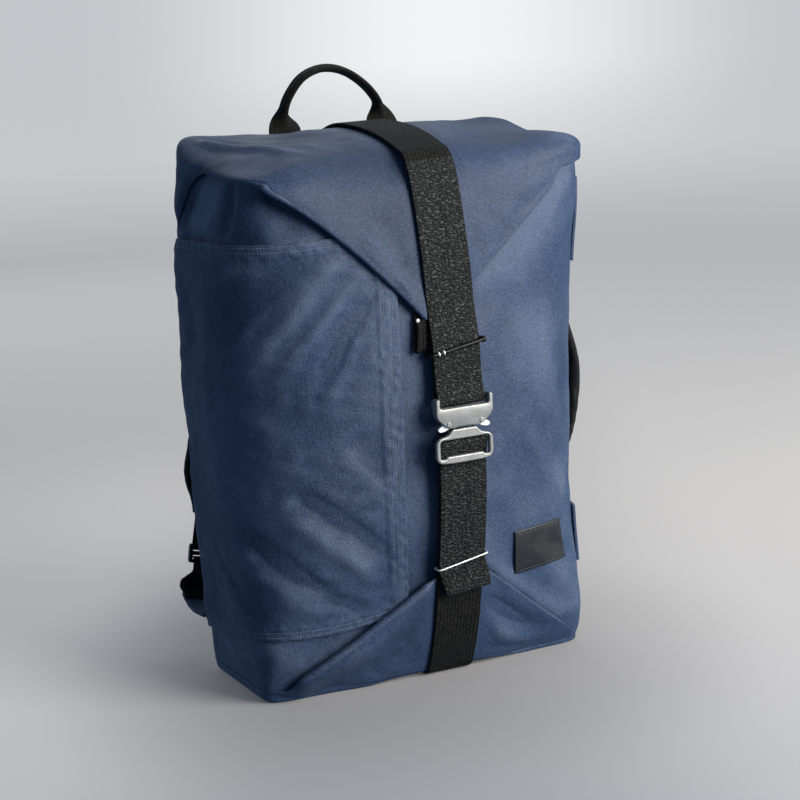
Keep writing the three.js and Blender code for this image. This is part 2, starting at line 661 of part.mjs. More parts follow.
// A release lever: a hook behind the tongue's head, an eye on the pin and a tip to press. Side 1 is the right.
function releaseLever(side) {
  const arm = outline(
    [
      [12.7, -5.2], [12.2, 0], [11.6, 3.1], [8.9, 2.6], [8.9, 4.2], [10.6, 4.9], [14.4, 5.4], [17.6, 0.4],
      [19.4, -2.4], [24.6, -6.2], [24.9, -8], [22.5, -9.3], [16.2, -8.2],
    ].map(([x, y]) => [side * x, y]),
  );
  const made = solid(plate(arm, TONGUE.back, TONGUE.front)).subtract(
    solid(disc(side * PIN.x, PIN.y, PIN.hole, TONGUE.back - 1, TONGUE.front + 1)),
  );
  return geometryOf(made);
}

// Handles, shoulder straps and small pieces

const FLARE = 31; // width of the top handle's flat ends
const TOP_HANDLE = [
  { x: -50, z: 453, width: FLARE, thick: 3 },
  { x: -50, z: 475, width: FLARE, thick: 3 },
  { x: -49.5, z: 488, width: 17, thick: 5.5 },
  { x: -47, z: 501, width: 9, thick: 11 },
  { x: -38, z: 516, width: 7, thick: 13 },
  { x: -23, z: 527, width: 6.5, thick: 14 },
  { x: -3, z: 531, width: 6.5, thick: 14 },
  { x: 17, z: 526, width: 6.5, thick: 14 },
  { x: 31, z: 513, width: 7, thick: 13 },
  { x: 39, z: 497, width: 9, thick: 11 },
  { x: 43, z: 484, width: 17, thick: 5.5 },
  { x: 45, z: 471, width: FLARE, thick: 3 },
  { x: 45, z: 453, width: FLARE, thick: 3 },
];

// The grip is folded lengthwise and stands on its edge; its ends spread flat against the back.
function topHandle() {
  const y = 73.4;
  const path = TOP_HANDLE.map((row) => ({ x: row.x, y, z: row.z, width: row.thick, thick: row.width }));
  return strip(stopsThrough(path, 30, ACROSS_Y));
}

// A ladder buckle joins each shoulder strap to its lower webbing: a frame with two slots that leans with the
// strap.
const STRAP_SLANT = 0.22; // fall of the shoulder strap's width towards the middle of the back
const ADJUSTER = {
  x: 140.5,
  y: 102.6,
  z: 94.5,
  width: 33,
  height: 18,
  thick: 3.5,
  wall: 3.5,
  slot: 3.6,
  pitch: 80,
};

function adjusterFrame(side) {
  const lean = new THREE.Matrix4().makeRotationY(-side * Math.atan(STRAP_SLANT));
  const pitch = new THREE.Matrix4().makeRotationX(ADJUSTER.pitch * DEGREE);
  return lean.multiply(pitch).setPosition(side * ADJUSTER.x, ADJUSTER.y, ADJUSTER.z);
}

// A row of a strap's table at a place on the adjuster, up and in from its middle.
function atAdjuster(side, [up, inward], width, thick) {
  const { x, y, z } = new THREE.Vector3(0, up, inward).applyMatrix4(adjusterFrame(side));
  return { x, y, z, width, thick };
}

// These tables are for the left; the right ones mirror them.
const SHOULDER_STRAP = [
  { x: -46, y: 73.5, z: 438, width: 56, thick: 7 },
  { x: -47, y: 78, z: 416, width: 58, thick: 9 },
  { x: -50, y: 92, z: 376, width: 60, thick: 11 },
  { x: -60, y: 103, z: 322, width: 60, thick: 11 },
  { x: -80, y: 111, z: 266, width: 60, thick: 11 },
  { x: -106, y: 115, z: 212, width: 60, thick: 11 },
  { x: -124, y: 113, z: 168, width: 56, thick: 10 },
  { x: -132, y: 108, z: 136, width: 42, thick: 9 },
  { x: -135, y: 106.6, z: 121, width: 30, thick: 6 },
];
const STRAP_NECK = [[15, -2.6], [9, -3.1], [6.2, -3.1], [4.4, -2.4], [3.7, -1], [3.7, 1.2]];
const WEBBING_HEAD = [[-3.7, -1.2], [-3.7, 1], [-4.4, 2.4], [-6.2, 3.1], [-9, 3.1], [-16, 2.4]];
const LOWER_WEBBING = [
  { x: -148, y: 107.5, z: 71, width: 25, thick: 2 },
  { x: -151, y: 111.5, z: 66, width: 25, thick: 2 },
  { x: -152.5, y: 110, z: 62.6, width: 25, thick: 2 },
  { x: -153.4, y: 102.5, z: 60.4, width: 25, thick: 2 },
  { x: -153.8, y: 95, z: 57, width: 25, thick: 2 },
];
const ANCHOR_TAB = [
  { x: -153.5, y: 105, z: 57.4, width: 25, thick: 2.6 },
  { x: -154, y: 95, z: 53.4, width: 29, thick: 2.8 },
  { x: -153, y: 84, z: 50, width: 34, thick: 3 },
  { x: -150, y: 74, z: 48, width: 39, thick: 3 },
  { x: -147, y: 67.6, z: 47, width: 42, thick: 3 },
];

const mirrored = (table, side) => table.map((row) => ({ ...row, x: -side * row.x }));
const slanted = (side) => new THREE.Vector3(1, 0, side * STRAP_SLANT).normalize();

function shoulderStrap(side) {
  const neck = STRAP_NECK.map((place) => atAdjuster(side, place, 25, 1.8));
  return strip(stopsThrough([...mirrored(SHOULDER_STRAP, side), ...neck], 40, slanted(side)));
}

function lowerWebbing(side) {
  const head = WEBBING_HEAD.map((place) => atAdjuster(side, place, 25, 1.8));
  return strip(stopsThrough([...head, ...mirrored(LOWER_WEBBING, side)], 28, slanted(side)));
}

function anchorTab(side) {
  return strip(stopsThrough(mirrored(ANCHOR_TAB, side), 8, slanted(side)));
}

function strapAdjuster(side) {
  const { width, height, thick, wall, slot } = ADJUSTER;
  const frame = roundedBox(-width / 2, -height / 2, width, height, 2.5);
  for (const y of [-height / 2 + wall, height / 2 - wall - slot]) {
    frame.holes.push(roundedBox(-width / 2 + wall, y, width - 2 * wall, slot, 0.8));
  }
  return plate(frame, -thick / 2, thick / 2, 2).applyMatrix4(adjusterFrame(side));
}

const SIDE_HANDLE = { angle: -93, width: 26 };
const SIDE_HANDLE_ROWS = [
  { z: 351, out: 6, thick: 5 },
  { z: 318, out: 10, thick: 7 },
  { z: 285, out: 21, thick: 8 },
  { z: 248, out: 32, thick: 8 },
  { z: 214, out: 32, thick: 8 },
  { z: 180, out: 22, thick: 8 },
  { z: 152, out: 10, thick: 7 },
  { z: 129, out: 6, thick: 5 },
];

function sideHandle() {
  const path = SIDE_HANDLE_ROWS.map(({ z, out, thick }) => {
    const at = offSack(SIDE_HANDLE.angle, z, out);
    return { x: at.x, y: at.y, z, width: SIDE_HANDLE.width, thick };
  });
  return strip(stopsThrough(path, 24, ACROSS_Y));
}

function sideAnchor(lowZ, highZ) {
  const spread = 8;
  return patch({
    fromAngle: SIDE_HANDLE.angle - spread,
    toAngle: SIDE_HANDLE.angle + spread,
    lowZ,
    highZ,
    out: GAP,
    thick: 3.2,
    columns: 4,
    rows: 5,
  });
}

const LABEL = { angle: -47.5, halfAngle: 10.2, lowZ: 87, highZ: 125, thick: 1.8 };

function labelPatch() {
  const [fromAngle, toAngle] = [LABEL.angle - LABEL.halfAngle, LABEL.angle + LABEL.halfAngle];
  return patch({ ...LABEL, fromAngle, toAngle, out: GAP, columns: 6, rows: 4 });
}

// The black tab at the apron's tip, which shows beside the strap.
function flapTab() {
  const path = [334, 324, 314, 304].map((z) => ({ x: -23, y: frontY(-23, z, 4), z, width: 15, thick: 2 }));
  return strip(stopsThrough(path, 6, ACROSS_X));
}

// Assembly

const bag = new THREE.Group();

function piece(name, geometry, kind, group = bag) {
  const mesh = new THREE.Mesh(geometry, MATERIALS[kind]);
  mesh.name = name;
  group.add(mesh);
  return mesh;
}

piece('sack', sack(), 'canvas');
piece('top_hood', hood(), 'canvas');
piece('base_fold', baseFold(), 'canvas');
piece('side_pocket', sidePocket(), 'canvas');
piece('front_strap_upper', strapUpper(), 'webbing');
piece('front_strap_lower', strapLower(), 'webbing');
piece('strap_keeper_upper', keeper(KEEPER_UPPER_Z, 2.4), 'blackMetal');
piece('strap_keeper_lower', keeper(KEEPER_LOWER_Z, 2), 'steel');
piece('flap_tab', flapTab(), 'webbing');
piece('label_patch', labelPatch(), 'patch');
piece('top_handle', topHandle(), 'webbing');
piece('side_handle', sideHandle(), 'padding');
piece('side_handle_anchor_top', sideAnchor(353, 428), 'canvas');
piece('side_handle_anchor_bottom', sideAnchor(74, 127), 'canvas');

// The buckle's own frame: x across, y up and z out from the sack.
const buckle = new THREE.Group();
buckle.position.set(strapX(BUCKLE_Z), frontY(strapX(BUCKLE_Z), BUCKLE_Z, 0), BUCKLE_Z);
buckle.rotation.x = Math.PI / 2;
bag.add(buckle);
piece('buckle_socket', buckleSocket(), 'alloy', buckle);
piece('buckle_tongue', buckleTongue(), 'alloy', buckle);

for (const [side, word] of [[-1, 'left'], [1, 'right']]) {
  piece(`release_lever_${word}`, releaseLever(side), 'steel', buckle);
  piece(`shoulder_strap_${word}`, shoulderStrap(side), 'padding');
  piece(`strap_adjuster_${word}`, strapAdjuster(side), 'blackMetal');
  piece(`lower_webbing_${word}`, lowerWebbing(side), 'webbing');
  piece(`strap_anchor_${word}`, anchorTab(side), 'canvas');
}

export default bag;
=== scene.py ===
"""Canvas backpack: canvas, webbing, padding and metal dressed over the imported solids.

Sizes are in millimetres and degrees. Angle 0 is the middle of the front, and 90 the side where the pocket is.
"""
import math

import bpy
import numpy as np
from mathutils import Matrix, Vector


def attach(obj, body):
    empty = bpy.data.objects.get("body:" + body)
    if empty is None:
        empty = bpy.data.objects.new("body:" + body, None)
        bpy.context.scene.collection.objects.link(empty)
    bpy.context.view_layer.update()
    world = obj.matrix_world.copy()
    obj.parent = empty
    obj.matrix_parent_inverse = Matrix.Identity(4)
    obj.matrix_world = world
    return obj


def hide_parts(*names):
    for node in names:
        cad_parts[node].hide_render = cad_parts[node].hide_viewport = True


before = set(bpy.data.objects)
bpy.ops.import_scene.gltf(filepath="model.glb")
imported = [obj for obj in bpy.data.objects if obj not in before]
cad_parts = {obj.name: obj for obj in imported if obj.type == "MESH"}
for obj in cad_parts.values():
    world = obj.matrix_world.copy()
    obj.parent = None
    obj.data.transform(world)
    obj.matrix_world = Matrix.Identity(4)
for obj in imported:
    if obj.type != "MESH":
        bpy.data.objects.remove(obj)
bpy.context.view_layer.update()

MM = 0.001
DEGREE = math.pi / 180
QUARTER = math.pi / 2
CANVAS = 2.0
POCKET_WALL = 1.6
GAP = 0.6
MOUTH = 452.0
SHOULDER = MOUTH - 6
COLUMNS = 380
STRAP_WIDTH = 45.0
STRAP_THICK = 2.2
FOLD_STAND_OFF = 7.6
SKIRT_STAND_OFF = 3.0
X_AXIS, Y_AXIS, Z_AXIS = np.eye(3)


# Sums and tables


def lerp(a, b, t):
    return a + (b - a) * t


def smooth(x, low, high):
    """0 below one value, 1 above another and a soft rise between them."""
    t = np.clip((np.asarray(x, float) - low) / (high - low), 0, 1)
    return t * t * (3 - 2 * t)


def between(x, low, full, fade, high):
    """1 in the middle of a range, with a soft rise and fall at its ends."""
    return smooth(x, low, full) * (1 - smooth(x, fade, high))


def bell(x, width):
    return np.exp(-((x / width) ** 2))


def unit(v):
    return v / np.maximum(np.linalg.norm(v, axis=-1, keepdims=True), 1e-9)


def reach_along(path):
    """How far along a path each of its points is."""
    return np.r_[0, np.cumsum(np.linalg.norm(np.diff(path, axis=0), axis=1))]


def read_along(reach, rows, distance):
    """Points or normals along a path, read at distances along it."""
    return np.stack([np.interp(distance, reach, rows[:, k]) for k in range(3)], -1)


def table(names, *rows):
    """Columns of a table by name."""
    return dict(zip(names.split(), np.array(rows, float).T))


def column(rows, key, value, name):
    """One column of a table where its key has a value, on a smooth curve through the rows."""
    xs, ys = rows[key], rows[name]
    last = len(xs) - 1
    value = np.asarray(value, float)
    i = np.clip(np.searchsorted(xs, value, side="right"), 1, last)
    before, after = np.maximum(i - 2, 0), np.minimum(i + 1, last)
    span = xs[i] - xs[i - 1]
    t = np.clip((value - xs[i - 1]) / span, 0, 1)
    slope_a = (ys[i] - ys[before]) / (xs[i] - xs[before]) * span
    slope_b = (ys[after] - ys[i - 1]) / (xs[after] - xs[i - 1]) * span
    ends = lerp(ys[i - 1], ys[i], t * t * (3 - 2 * t))
    return ends + t * (1 - t) * ((1 - t) * slope_a - t * slope_b)


def spread_along(rows, name, count):
    """A table's column at even steps from its first row to its last."""
    place = np.linspace(0, len(rows[name]) - 1, count)
    i = np.minimum(place.astype(int), len(rows[name]) - 2)
    return lerp(rows[name][i], rows[name][i + 1], smooth(place - i, 0, 1))


def ripple(points, wavelength, seed, waves=16):
    """Smooth seeded noise with a mean of 0 and a spread of about 1."""
    rng = np.random.default_rng(seed)
    pitch = 2 * math.pi / wavelength * rng.uniform(0.6, 1.6, waves)
    ways = unit(rng.normal(size=(waves, 3))) * pitch[:, None]
    return np.sin(points @ ways.T + rng.uniform(0, 2 * math.pi, waves)).sum(-1) / math.sqrt(waves / 2)


def ripples(points, *rows):
    """A sum of seeded noises, each with a height, a wavelength and a seed."""
    return sum(height * ripple(points, wavelength, seed) for height, wavelength, seed in rows)


def folds(u, v, rows):
    """Soft ridges and valleys: each row has the ends of its line, u, v, u, v, then its width and height."""
    total = np.zeros(np.broadcast(u, v).shape)
    for u0, v0, u1, v1, width, height in rows:
        du, dv = u1 - u0, v1 - v0
        along = np.clip(((u - u0) * du + (v - v0) * dv) / (du * du + dv * dv), 0, 1)
        away = np.hypot(u - u0 - along * du, v - v0 - along * dv)
        total += height * (0.2 + 0.8 * between(along, 0, 0.2, 0.75, 1)) * bell(away, width)
    return total


# The sack's own surface, as in the solids

SECTIONS = table(
    "z left right belly back square back_square",
    (5, 156, 158, 62, 61, 15, 15),
    (16, 158, 161, 68, 63, 12, 14),
    (45, 160, 164, 80, 66, 7, 11),
    (90, 163, 165, 92, 69, 4.2, 9),
    (150, 166, 166, 104, 71, 3, 8),
    (230, 168, 168, 111, 72, 2.6, 8),
    (310, 169, 172, 111, 72, 2.6, 8),
    (380, 168, 173, 105, 70, 3.2, 9),
    (430, 163, 170, 97, 67, 5.4, 11),
    (464, 157, 166, 88, 64, 9, 13),
)
MEAN_RADIUS = 140


def section(z, name):
    return column(SECTIONS, "z", z, name)


def on_sack(angle, z):
    angle, z = np.broadcast_arrays(np.asarray(angle, float), np.asarray(z, float))
    across, along = np.sin(angle * DEGREE), np.cos(angle * DEGREE)
    half = np.where(across > 0, section(z, "left"), section(z, "right"))
    reach = np.where(along > 0, section(z, "belly"), section(z, "back"))
    n = np.where(along > 0, section(z, "square"), section(z, "back_square"))
    r = (np.abs(across / half) ** n + np.abs(along / reach) ** n) ** (-1 / n)
    return np.stack([-r * across, -r * along, z], -1)


def sack_normal(angle, z):
    angle, z = np.asarray(angle, float), np.asarray(z, float)
    around = on_sack(angle + 1, z) - on_sack(angle - 1, z)
    up = on_sack(angle, z + 2) - on_sack(angle, z - 2)
    return -unit(np.cross(around, up))


def off_sack(angle, z, out):
    return on_sack(angle, z) + sack_normal(angle, z) * np.asarray(out, float)[..., None]


def front_y(x, z, out):
    half = np.where(np.asarray(x) < 0, section(z, "left"), section(z, "right"))
    n = section(z, "square")
    return -section(z, "belly") * (1 - np.abs(x / half) ** n) ** (1 / n) - out


def even_angles(first, last, z, count):
    """Angles evenly spaced along the sack at one height, and how far along it each one is."""
    fine = np.linspace(first, last, 14401)
    length = reach_along(on_sack(fine, z))
    places = np.linspace(0, length[-1], count)
    return np.interp(places, length, fine), places


ANGLES, REACH = even_angles(-180, 180, 300.0, COLUMNS + 1)
ANGLES = ANGLES[:-1]


def arc(angle):
    return angle * DEGREE * MEAN_RADIUS


def fold_rows(*rows):
    """Folds given by angles and heights on the sack, as places on its unrolled surface."""
    return [(arc(a), z, arc(b), end, width, height) for a, z, b, end, width, height in rows]


def tuck_at(angle, z):
    """Depth of the tuck beside the hood's apron: deep on the left, slight on the right."""
    return np.where(angle > 0, 5.5, 1.5) * between(np.abs(angle), 42, 60, 94, 107) * smooth(z, 398, 440)


TUCK_FOLDS = fold_rows(
    (74, 462, 76, 400, 7, -5), (86, 448, 93, 404, 14, 8), (60, 456, 46, 412, 9, -3),
    (66, 440, 58, 402, 12, 2), (101, 436, 104, 404, 6, -3),
)
SACK_FOLDS = fold_rows(
    (-62, 440, -42, 392, 10, 1.6), (-38, 330, -60, 210, 18, 1.4), (-30, 250, -44, 150, 14, -1.3),
    (-66, 330, -70, 180, 12, 1.4), (-46, 190, -62, 140, 9, 1.2), (-26, 104, -64, 24, 7, 1.8),
    (-34, 108, -66, 34, 8, -1.6), (-40, 74, -68, 12, 6, -1.4), (-52, 96, -69, 18, 7, 1.5),
    (62, 58, 92, 30, 9, 1.8), (66, 50, 80, 14, 8, -1.8), (100, 60, 84, 20, 9, 1.4),
    (150, 380, 166, 220, 22, 1.6), (-150, 360, -168, 180, 22, 1.4), (-100, 240, -84, 150, 16, 1.6),
    (-78, 420, -96, 330, 12, -1.4),
)
POCKET_FOLDS = fold_rows(
    (40, 396, 68, 296, 8, 3.2), (36, 372, 60, 288, 6, 2.2), (48, 398, 76, 330, 8, -2.4),
    (31, 356, 50, 276, 8, -2.2), (34, 330, 48, 258, 6, 1.4), (60, 398, 84, 356, 7, 1.6),
    (58, 196, 27, 126, 8, -3.4), (60, 174, 33, 106, 8, 2.8), (74, 158, 48, 97, 7, -3.8),
    (76, 140, 54, 84, 8, 2.4), (52, 100, 38, 76, 8, -2.4), (88, 126, 64, 70, 7, -2.0),
    (90, 300, 84, 180, 16, 1.8), (98, 360, 92, 300, 12, -1.8), (70, 262, 50, 206, 10, 1.6),
    (66, 246, 40, 186, 9, -1.2), (44, 232, 28, 176, 9, 1.4),
)
HOOD_TOP_FOLDS = [
    (-148, 50, -100, -60, 6, 4.6), (-132, 42, -74, -34, 7, -2.6), (-118, 34, -70, -66, 7, 1.8),
    (-128, 52, -60, -20, 16, -2.2), (-60, 40, -24, -60, 14, 1.6), (34, -70, 78, 40, 16, 1.4),
    (70, -84, 140, -20, 14, -1.8), (156, -92, 96, -30, 9, 1.8), (150, 56, 90, 10, 14, -1.6),
]
HOOD_FRONT_FOLDS = fold_rows(
    (50, 444, 20, 384, 10, 1.5), (30, 430, 12, 360, 9, -1.4), (20, 372, 11, 340, 5, 1.6),
    (-22, 440, -14, 370, 9, -1.2), (-54, 446, -30, 400, 8, 1.4), (-40, 446, -20, 360, 12, 1.0),
    (108, 462, 106, 410, 10, 1.4),
)
BASE_FRONT_FOLDS = fold_rows(
    (62, 14, 14, 84, 9, 2.6), (46, 12, 14, 54, 9, -2.0), (-11, 12, -18, 78, 5, -3.2),
    (-14, 14, -24, 66, 6, 2.6), (-64, 14, -22, 76, 7, -4.2), (-62, 8, -34, 40, 7, 3.0),
    (-58, 8, -34, 18, 6, -1.6),
)

HOOD_RIM_LEFT = table(
    "angle z",
    (59, 452), (62, 456), (66, 459), (72, 460.5), (78, 460.5), (84, 460), (89, 458), (94, 454.5), (98.5, 448),
    (101.5, 438), (104, 424), (107, 406), (110, 394), (114, 391), (119, 402), (126, 428), (134, 445),
    (144, 450), (180, 450),
)
HOOD_RIM_RIGHT = table(
    "angle z", (57, 444), (76, 451), (98, 436), (110, 408), (122, 440), (140, 450), (180, 450)
)
HOOD_APRON_LEFT = {
    "tip_x": -6, "tip_half": 9, "tip_z": 331, "corner_x": 148, "corner_z": 454, "angle": 60, "bow": 8,
}
HOOD_APRON_RIGHT = dict(HOOD_APRON_LEFT, corner_x=146, corner_z=447, angle=58, bow=0)
BASE_APRON_LEFT = {
    "tip_x": 18, "tip_half": 20, "tip_z": 103, "corner_x": 152, "corner_z": 10, "angle": 67, "bow": 0,
}
BASE_APRON_RIGHT = dict(BASE_APRON_LEFT, corner_x=156, corner_z=4.5, angle=68)
BASE_RIM = 12.0
BASE_SIDE = 0.4
HOOD_TOP = table(
    "y middle left right",
    (-96, 463, 469, 467),
    (-70, 472, 470, 468),
    (-35, 479, 470, 467),
    (5, 482, 471, 467),
    (40, 480, 478, 471.5),
    (68, 472, 487, 478),
)
HOOD_TURN = table(
    "angle reach drop",
    (-180, 8, 8), (-130, 8, 8), (-112, 9, 9), (-90, 13, 9), (-62, 16, 10), (-48, 28, 18), (-20, 30, 24),
    (-8, 22, 21), (8, 22, 21), (20, 32, 26), (45, 36, 22), (55, 30, 11), (62, 20, 5), (92, 18, 5),
    (104, 12, 7), (112, 8, 8), (180, 8, 8),
)
RIDGE_FROM, RIDGE_TO = np.array([-152.0, 46.0]), np.array([-108.0, -72.0])


def apron_edge(apron, x):
    beside = np.abs(x - apron["tip_x"]) - apron["tip_half"]
    reach = apron["corner_x"] - apron["tip_half"] - np.sign(x) * apron["tip_x"]
    share = np.clip(beside / reach, 0, 1)
    return lerp(apron["tip_z"], apron["corner_z"], share) + apron["bow"] * np.sin(math.pi * share)


def rim_at(angle, apron, elsewhere, blend):
    """Height of a rim that follows an apron's edge in front."""
    z = np.full(np.shape(angle), float(apron["tip_z"]))
    for _ in range(4):
        z = apron_edge(apron, on_sack(angle, z)[..., 0])
    return lerp(z, elsewhere, smooth(np.abs(angle), apron["angle"] - blend, apron["angle"]))


def hood_rim(angle):
    left = column(HOOD_RIM_LEFT, "angle", np.maximum(angle, HOOD_APRON_LEFT["angle"] - 1), "z")
    right = column(HOOD_RIM_RIGHT, "angle", np.maximum(-angle, HOOD_APRON_RIGHT["angle"]), "z")
    left, right = rim_at(angle, HOOD_APRON_LEFT, left, 2), rim_at(angle, HOOD_APRON_RIGHT, right, 6)
    return np.where(angle > 0, left, right)


def base_turn(angle):
    """Radius of the base's lower edge, small at the right front corner."""
    return 7 - 4.5 * between(-angle, 36, 56, 80, 104)


def base_rim(angle):
    low = base_turn(angle) + 2
    right = np.maximum(rim_at(angle, BASE_APRON_RIGHT, low, 1), low)
    return np.where(angle > 0, rim_at(angle, BASE_APRON_LEFT, BASE_RIM, 6), right)


def hood_top_z(x, y):
    """Height of the hood's top, which falls to the left of a ridge from its back corner to its front."""
    side = np.clip(np.abs(x) / 152, 0, 1) ** 1.6
    edge = np.where(x < 0, column(HOOD_TOP, "y", y, "left"), column(HOOD_TOP, "y", y, "right"))
    run = RIDGE_TO - RIDGE_FROM
    beyond = ((x - RIDGE_FROM[0]) * run[1] - (y - RIDGE_FROM[1]) * run[0]) / np.linalg.norm(run)
    return lerp(column(HOOD_TOP, "y", y, "middle"), edge, side) - 10 * smooth(beyond, -6, 42)


def frontness(angle):
    return smooth(np.cos(angle * DEGREE), 0.45, 0.75)


def stand_off(angle):
    return lerp(SKIRT_STAND_OFF, FOLD_STAND_OFF, frontness(angle))


def foot_flare(angle, z):
    """How far the right front corner spreads at its foot."""
    return 2.0 * between(-angle, 44, 62, 76, 96) * (1 - smooth(z, 6, 60))


# Front strap, as in the solids

STRAP_LEAN = table("z x", (0, 17), (100, 14.5), (180, 12), (260, 10), (330, 8), (475, 3))
BUCKLE_Z = 244.0
KEEPER_UPPER_Z = 305.0
KEEPER_LOWER_Z = 113.0
KEEPER_TILT = 10.0
STRAP_INNER = FOLD_STAND_OFF + GAP + STRAP_THICK / 2
STRAP_OUTER = STRAP_INNER + STRAP_THICK + 0.8
STRAP_BEND_Z = 462.0
BAR_HALF = 1.4
BAR_OUT = STRAP_INNER + 3.2
SOCKET_BAR_Y = 15.5
TONGUE_BAR_Y = -21.5


def strap_x(z):
    return column(STRAP_LEAN, "z", z, "x")


def strap_stop(z, out):
    """A point on the strap's middle line at a height, straight beside the buckle."""
    x = strap_x(z)
    straight = 1 - smooth(abs(z - BUCKLE_Z), 42, 80)
    y = lerp(front_y(x, z, out), front_y(x, BUCKLE_Z, out), straight)
    return np.array([float(x), float(y), float(z)])


def turn_round(bar_z, sign):
    """The strap's way round a bar, from its outer side to its inner one."""
    radius = BAR_OUT - STRAP_INNER
    turns = np.arange(90, -91, -30) * DEGREE
    return [strap_stop(bar_z + sign * radius * math.cos(t), BAR_OUT + radius * math.sin(t)) for t in turns]


def fade_by_strap(x, z):
    return smooth(np.abs(x - strap_x(z)), 24, 40)


# Meshes


def new_object(name, data):
    made = bpy.data.objects.new(name, data)
    bpy.context.scene.collection.objects.link(made)
    return made


def evaluated_mesh(piece):
    """A new mesh of an object with its modifiers applied."""
    bpy.context.view_layer.update()
    return bpy.data.meshes.new_from_object(piece.evaluated_get(bpy.context.evaluated_depsgraph_get()))


def mesh_parts(mesh):
    points = np.empty(len(mesh.vertices) * 3)
    mesh.vertices.foreach_get("co", points)
    return points.reshape(-1, 3), [list(p.vertices) for p in mesh.polygons]


def new_mesh(name, points, faces):
    mesh = bpy.data.meshes.new(name)
    mesh.from_pydata((np.asarray(points) * MM).tolist(), [], faces)
    return mesh


def add_mesh(name, mesh, material, node=None, body="bag"):
    """A smooth piece that rides on a body and may stand for a node."""
    mesh.materials.clear()
    mesh.materials.append(material)
    mesh.polygons.foreach_set("use_smooth", [True] * len(mesh.polygons))
    mesh.update()
    piece = new_object(name, mesh)
    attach(piece, body)
    if node:
        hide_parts(node)
    return piece


def add_piece(name, points, faces, material, slot, node=None, body="bag", uv=None, wear_and_painted_shading=None):
    """A piece from points in millimetres, with uv for the corners of its faces and, for its points, a value
    of worn paleness that also carries painted shade and painted light.
    """
    mesh = new_mesh(name, points, faces)
    if uv is not None:
        mesh.uv_layers.new(name="cloth").data.foreach_set("uv", np.asarray(uv, np.float32).ravel())
    if wear_and_painted_shading is not None:
        attribute = mesh.attributes.new("wear_and_painted_shading", "FLOAT", "POINT")
        attribute.data.foreach_set("value", np.asarray(wear_and_painted_shading, np.float32).ravel())
    return add_mesh(name, mesh, material, node, body)


def grid_normals(points, closed):
    around = np.roll(points, -1, 1) - np.roll(points, 1, 1) if closed else np.gradient(points, axis=1)
    return unit(np.cross(around, np.gradient(points, axis=0)))


def grid_faces(rows, columns, closed):
    index = np.arange(rows * columns).reshape(rows, columns)
    left = index if closed else index[:, :-1]
    right = np.roll(index, -1, 1) if closed else index[:, 1:]
    return np.stack([left[:-1], right[:-1], right[1:], left[1:]], -1).reshape(-1, 4)


def tube_faces(rings, size):
    quads = grid_faces(rings, size, True).tolist()
    return quads + [list(range(size))[::-1], list(range((rings - 1) * size, rings * size))]


def cloth_uv(points, quads):
    """Places on flat cloth in metres: from above on level faces, and round and up elsewhere."""
    corners = points[quads]
    normal = unit(np.cross(corners[:, 2] - corners[:, 0], corners[:, 3] - corners[:, 1]))
    level = np.abs(normal[:, 2:3]) > 0.75
    around = REACH[quads % COLUMNS]
    seam = around.max(1, keepdims=True) - around > 0.5 * REACH[-1]
    u = np.where(level, corners[..., 0], np.where(seam, around + REACH[-1], around))
    v = np.where(level, corners[..., 1], corners[..., 2])
    return np.stack([u, v], -1).reshape(-1, 2) * MM


def shell_piece(name, outer, normals, wall, wear_and_painted_shading, node):
    """A closed canvas wall whose rows begin round a pole and end in a rounded rim."""
    wall = np.broadcast_to(wall, outer.shape[:2])
    inner = outer - normals * wall[..., None]
    around = np.roll(outer[-1], -1, 0) - np.roll(outer[-1], 1, 0)
    beyond = unit(np.cross(normals[-1], around))
    beyond *= np.sign((beyond * (outer[-1] - outer[-4])).sum(-1, keepdims=True))
    middle, half = (outer[-1] + inner[-1]) / 2, wall[-1][:, None] / 2
    turns = np.linspace(0, math.pi, 8)[1:-1]
    roll = [middle + half * (math.cos(t) * normals[-1] + math.sin(t) * beyond) for t in turns]
    points = np.concatenate([outer, roll, inner[::-1]])
    count = len(points)
    wear_and_painted_shading = np.concatenate([wear_and_painted_shading, np.repeat(wear_and_painted_shading[-1:] + 0.35, len(roll), 0), wear_and_painted_shading[::-1]])
    flat = points.reshape(-1, 3)
    quads = grid_faces(count, COLUMNS, True)
    uv = cloth_uv(flat, quads)
    fans, hubs = [], []
    for hub, row in ((len(flat), 0), (len(flat) + 1, count - 1)):
        ring = np.arange(COLUMNS) + row * COLUMNS
        fan = np.stack([ring, np.roll(ring, -1), np.full(COLUMNS, hub)], -1)
        fans.append(fan if row else fan[:, ::-1])
        hubs.append(flat[ring].mean(0))
    flat, fans = np.concatenate([flat, hubs]), np.concatenate(fans)
    uv = np.concatenate([uv, flat[fans][..., :2].reshape(-1, 2) * MM])
    piece = add_piece(name, flat, quads.tolist() + fans.tolist(), CANVAS_BLUE, "canvas", node, uv=uv,
                      wear_and_painted_shading=np.r_[wear_and_painted_shading.ravel(), 0, 0])
    if (grid_normals(outer, True) * normals).sum() < 0:
        piece.data.flip_normals()


def give_wall(piece, wall, offset, round_edge):
    """Thickness and soft edges for a sheet of faces."""
    solid = piece.modifiers.new("wall", "SOLIDIFY")
    solid.thickness, solid.offset = wall * MM, offset
    bevel = piece.modifiers.new("soft_edge", "BEVEL")
    bevel.width, bevel.segments, bevel.angle_limit = round_edge * MM, 3, 50 * DEGREE


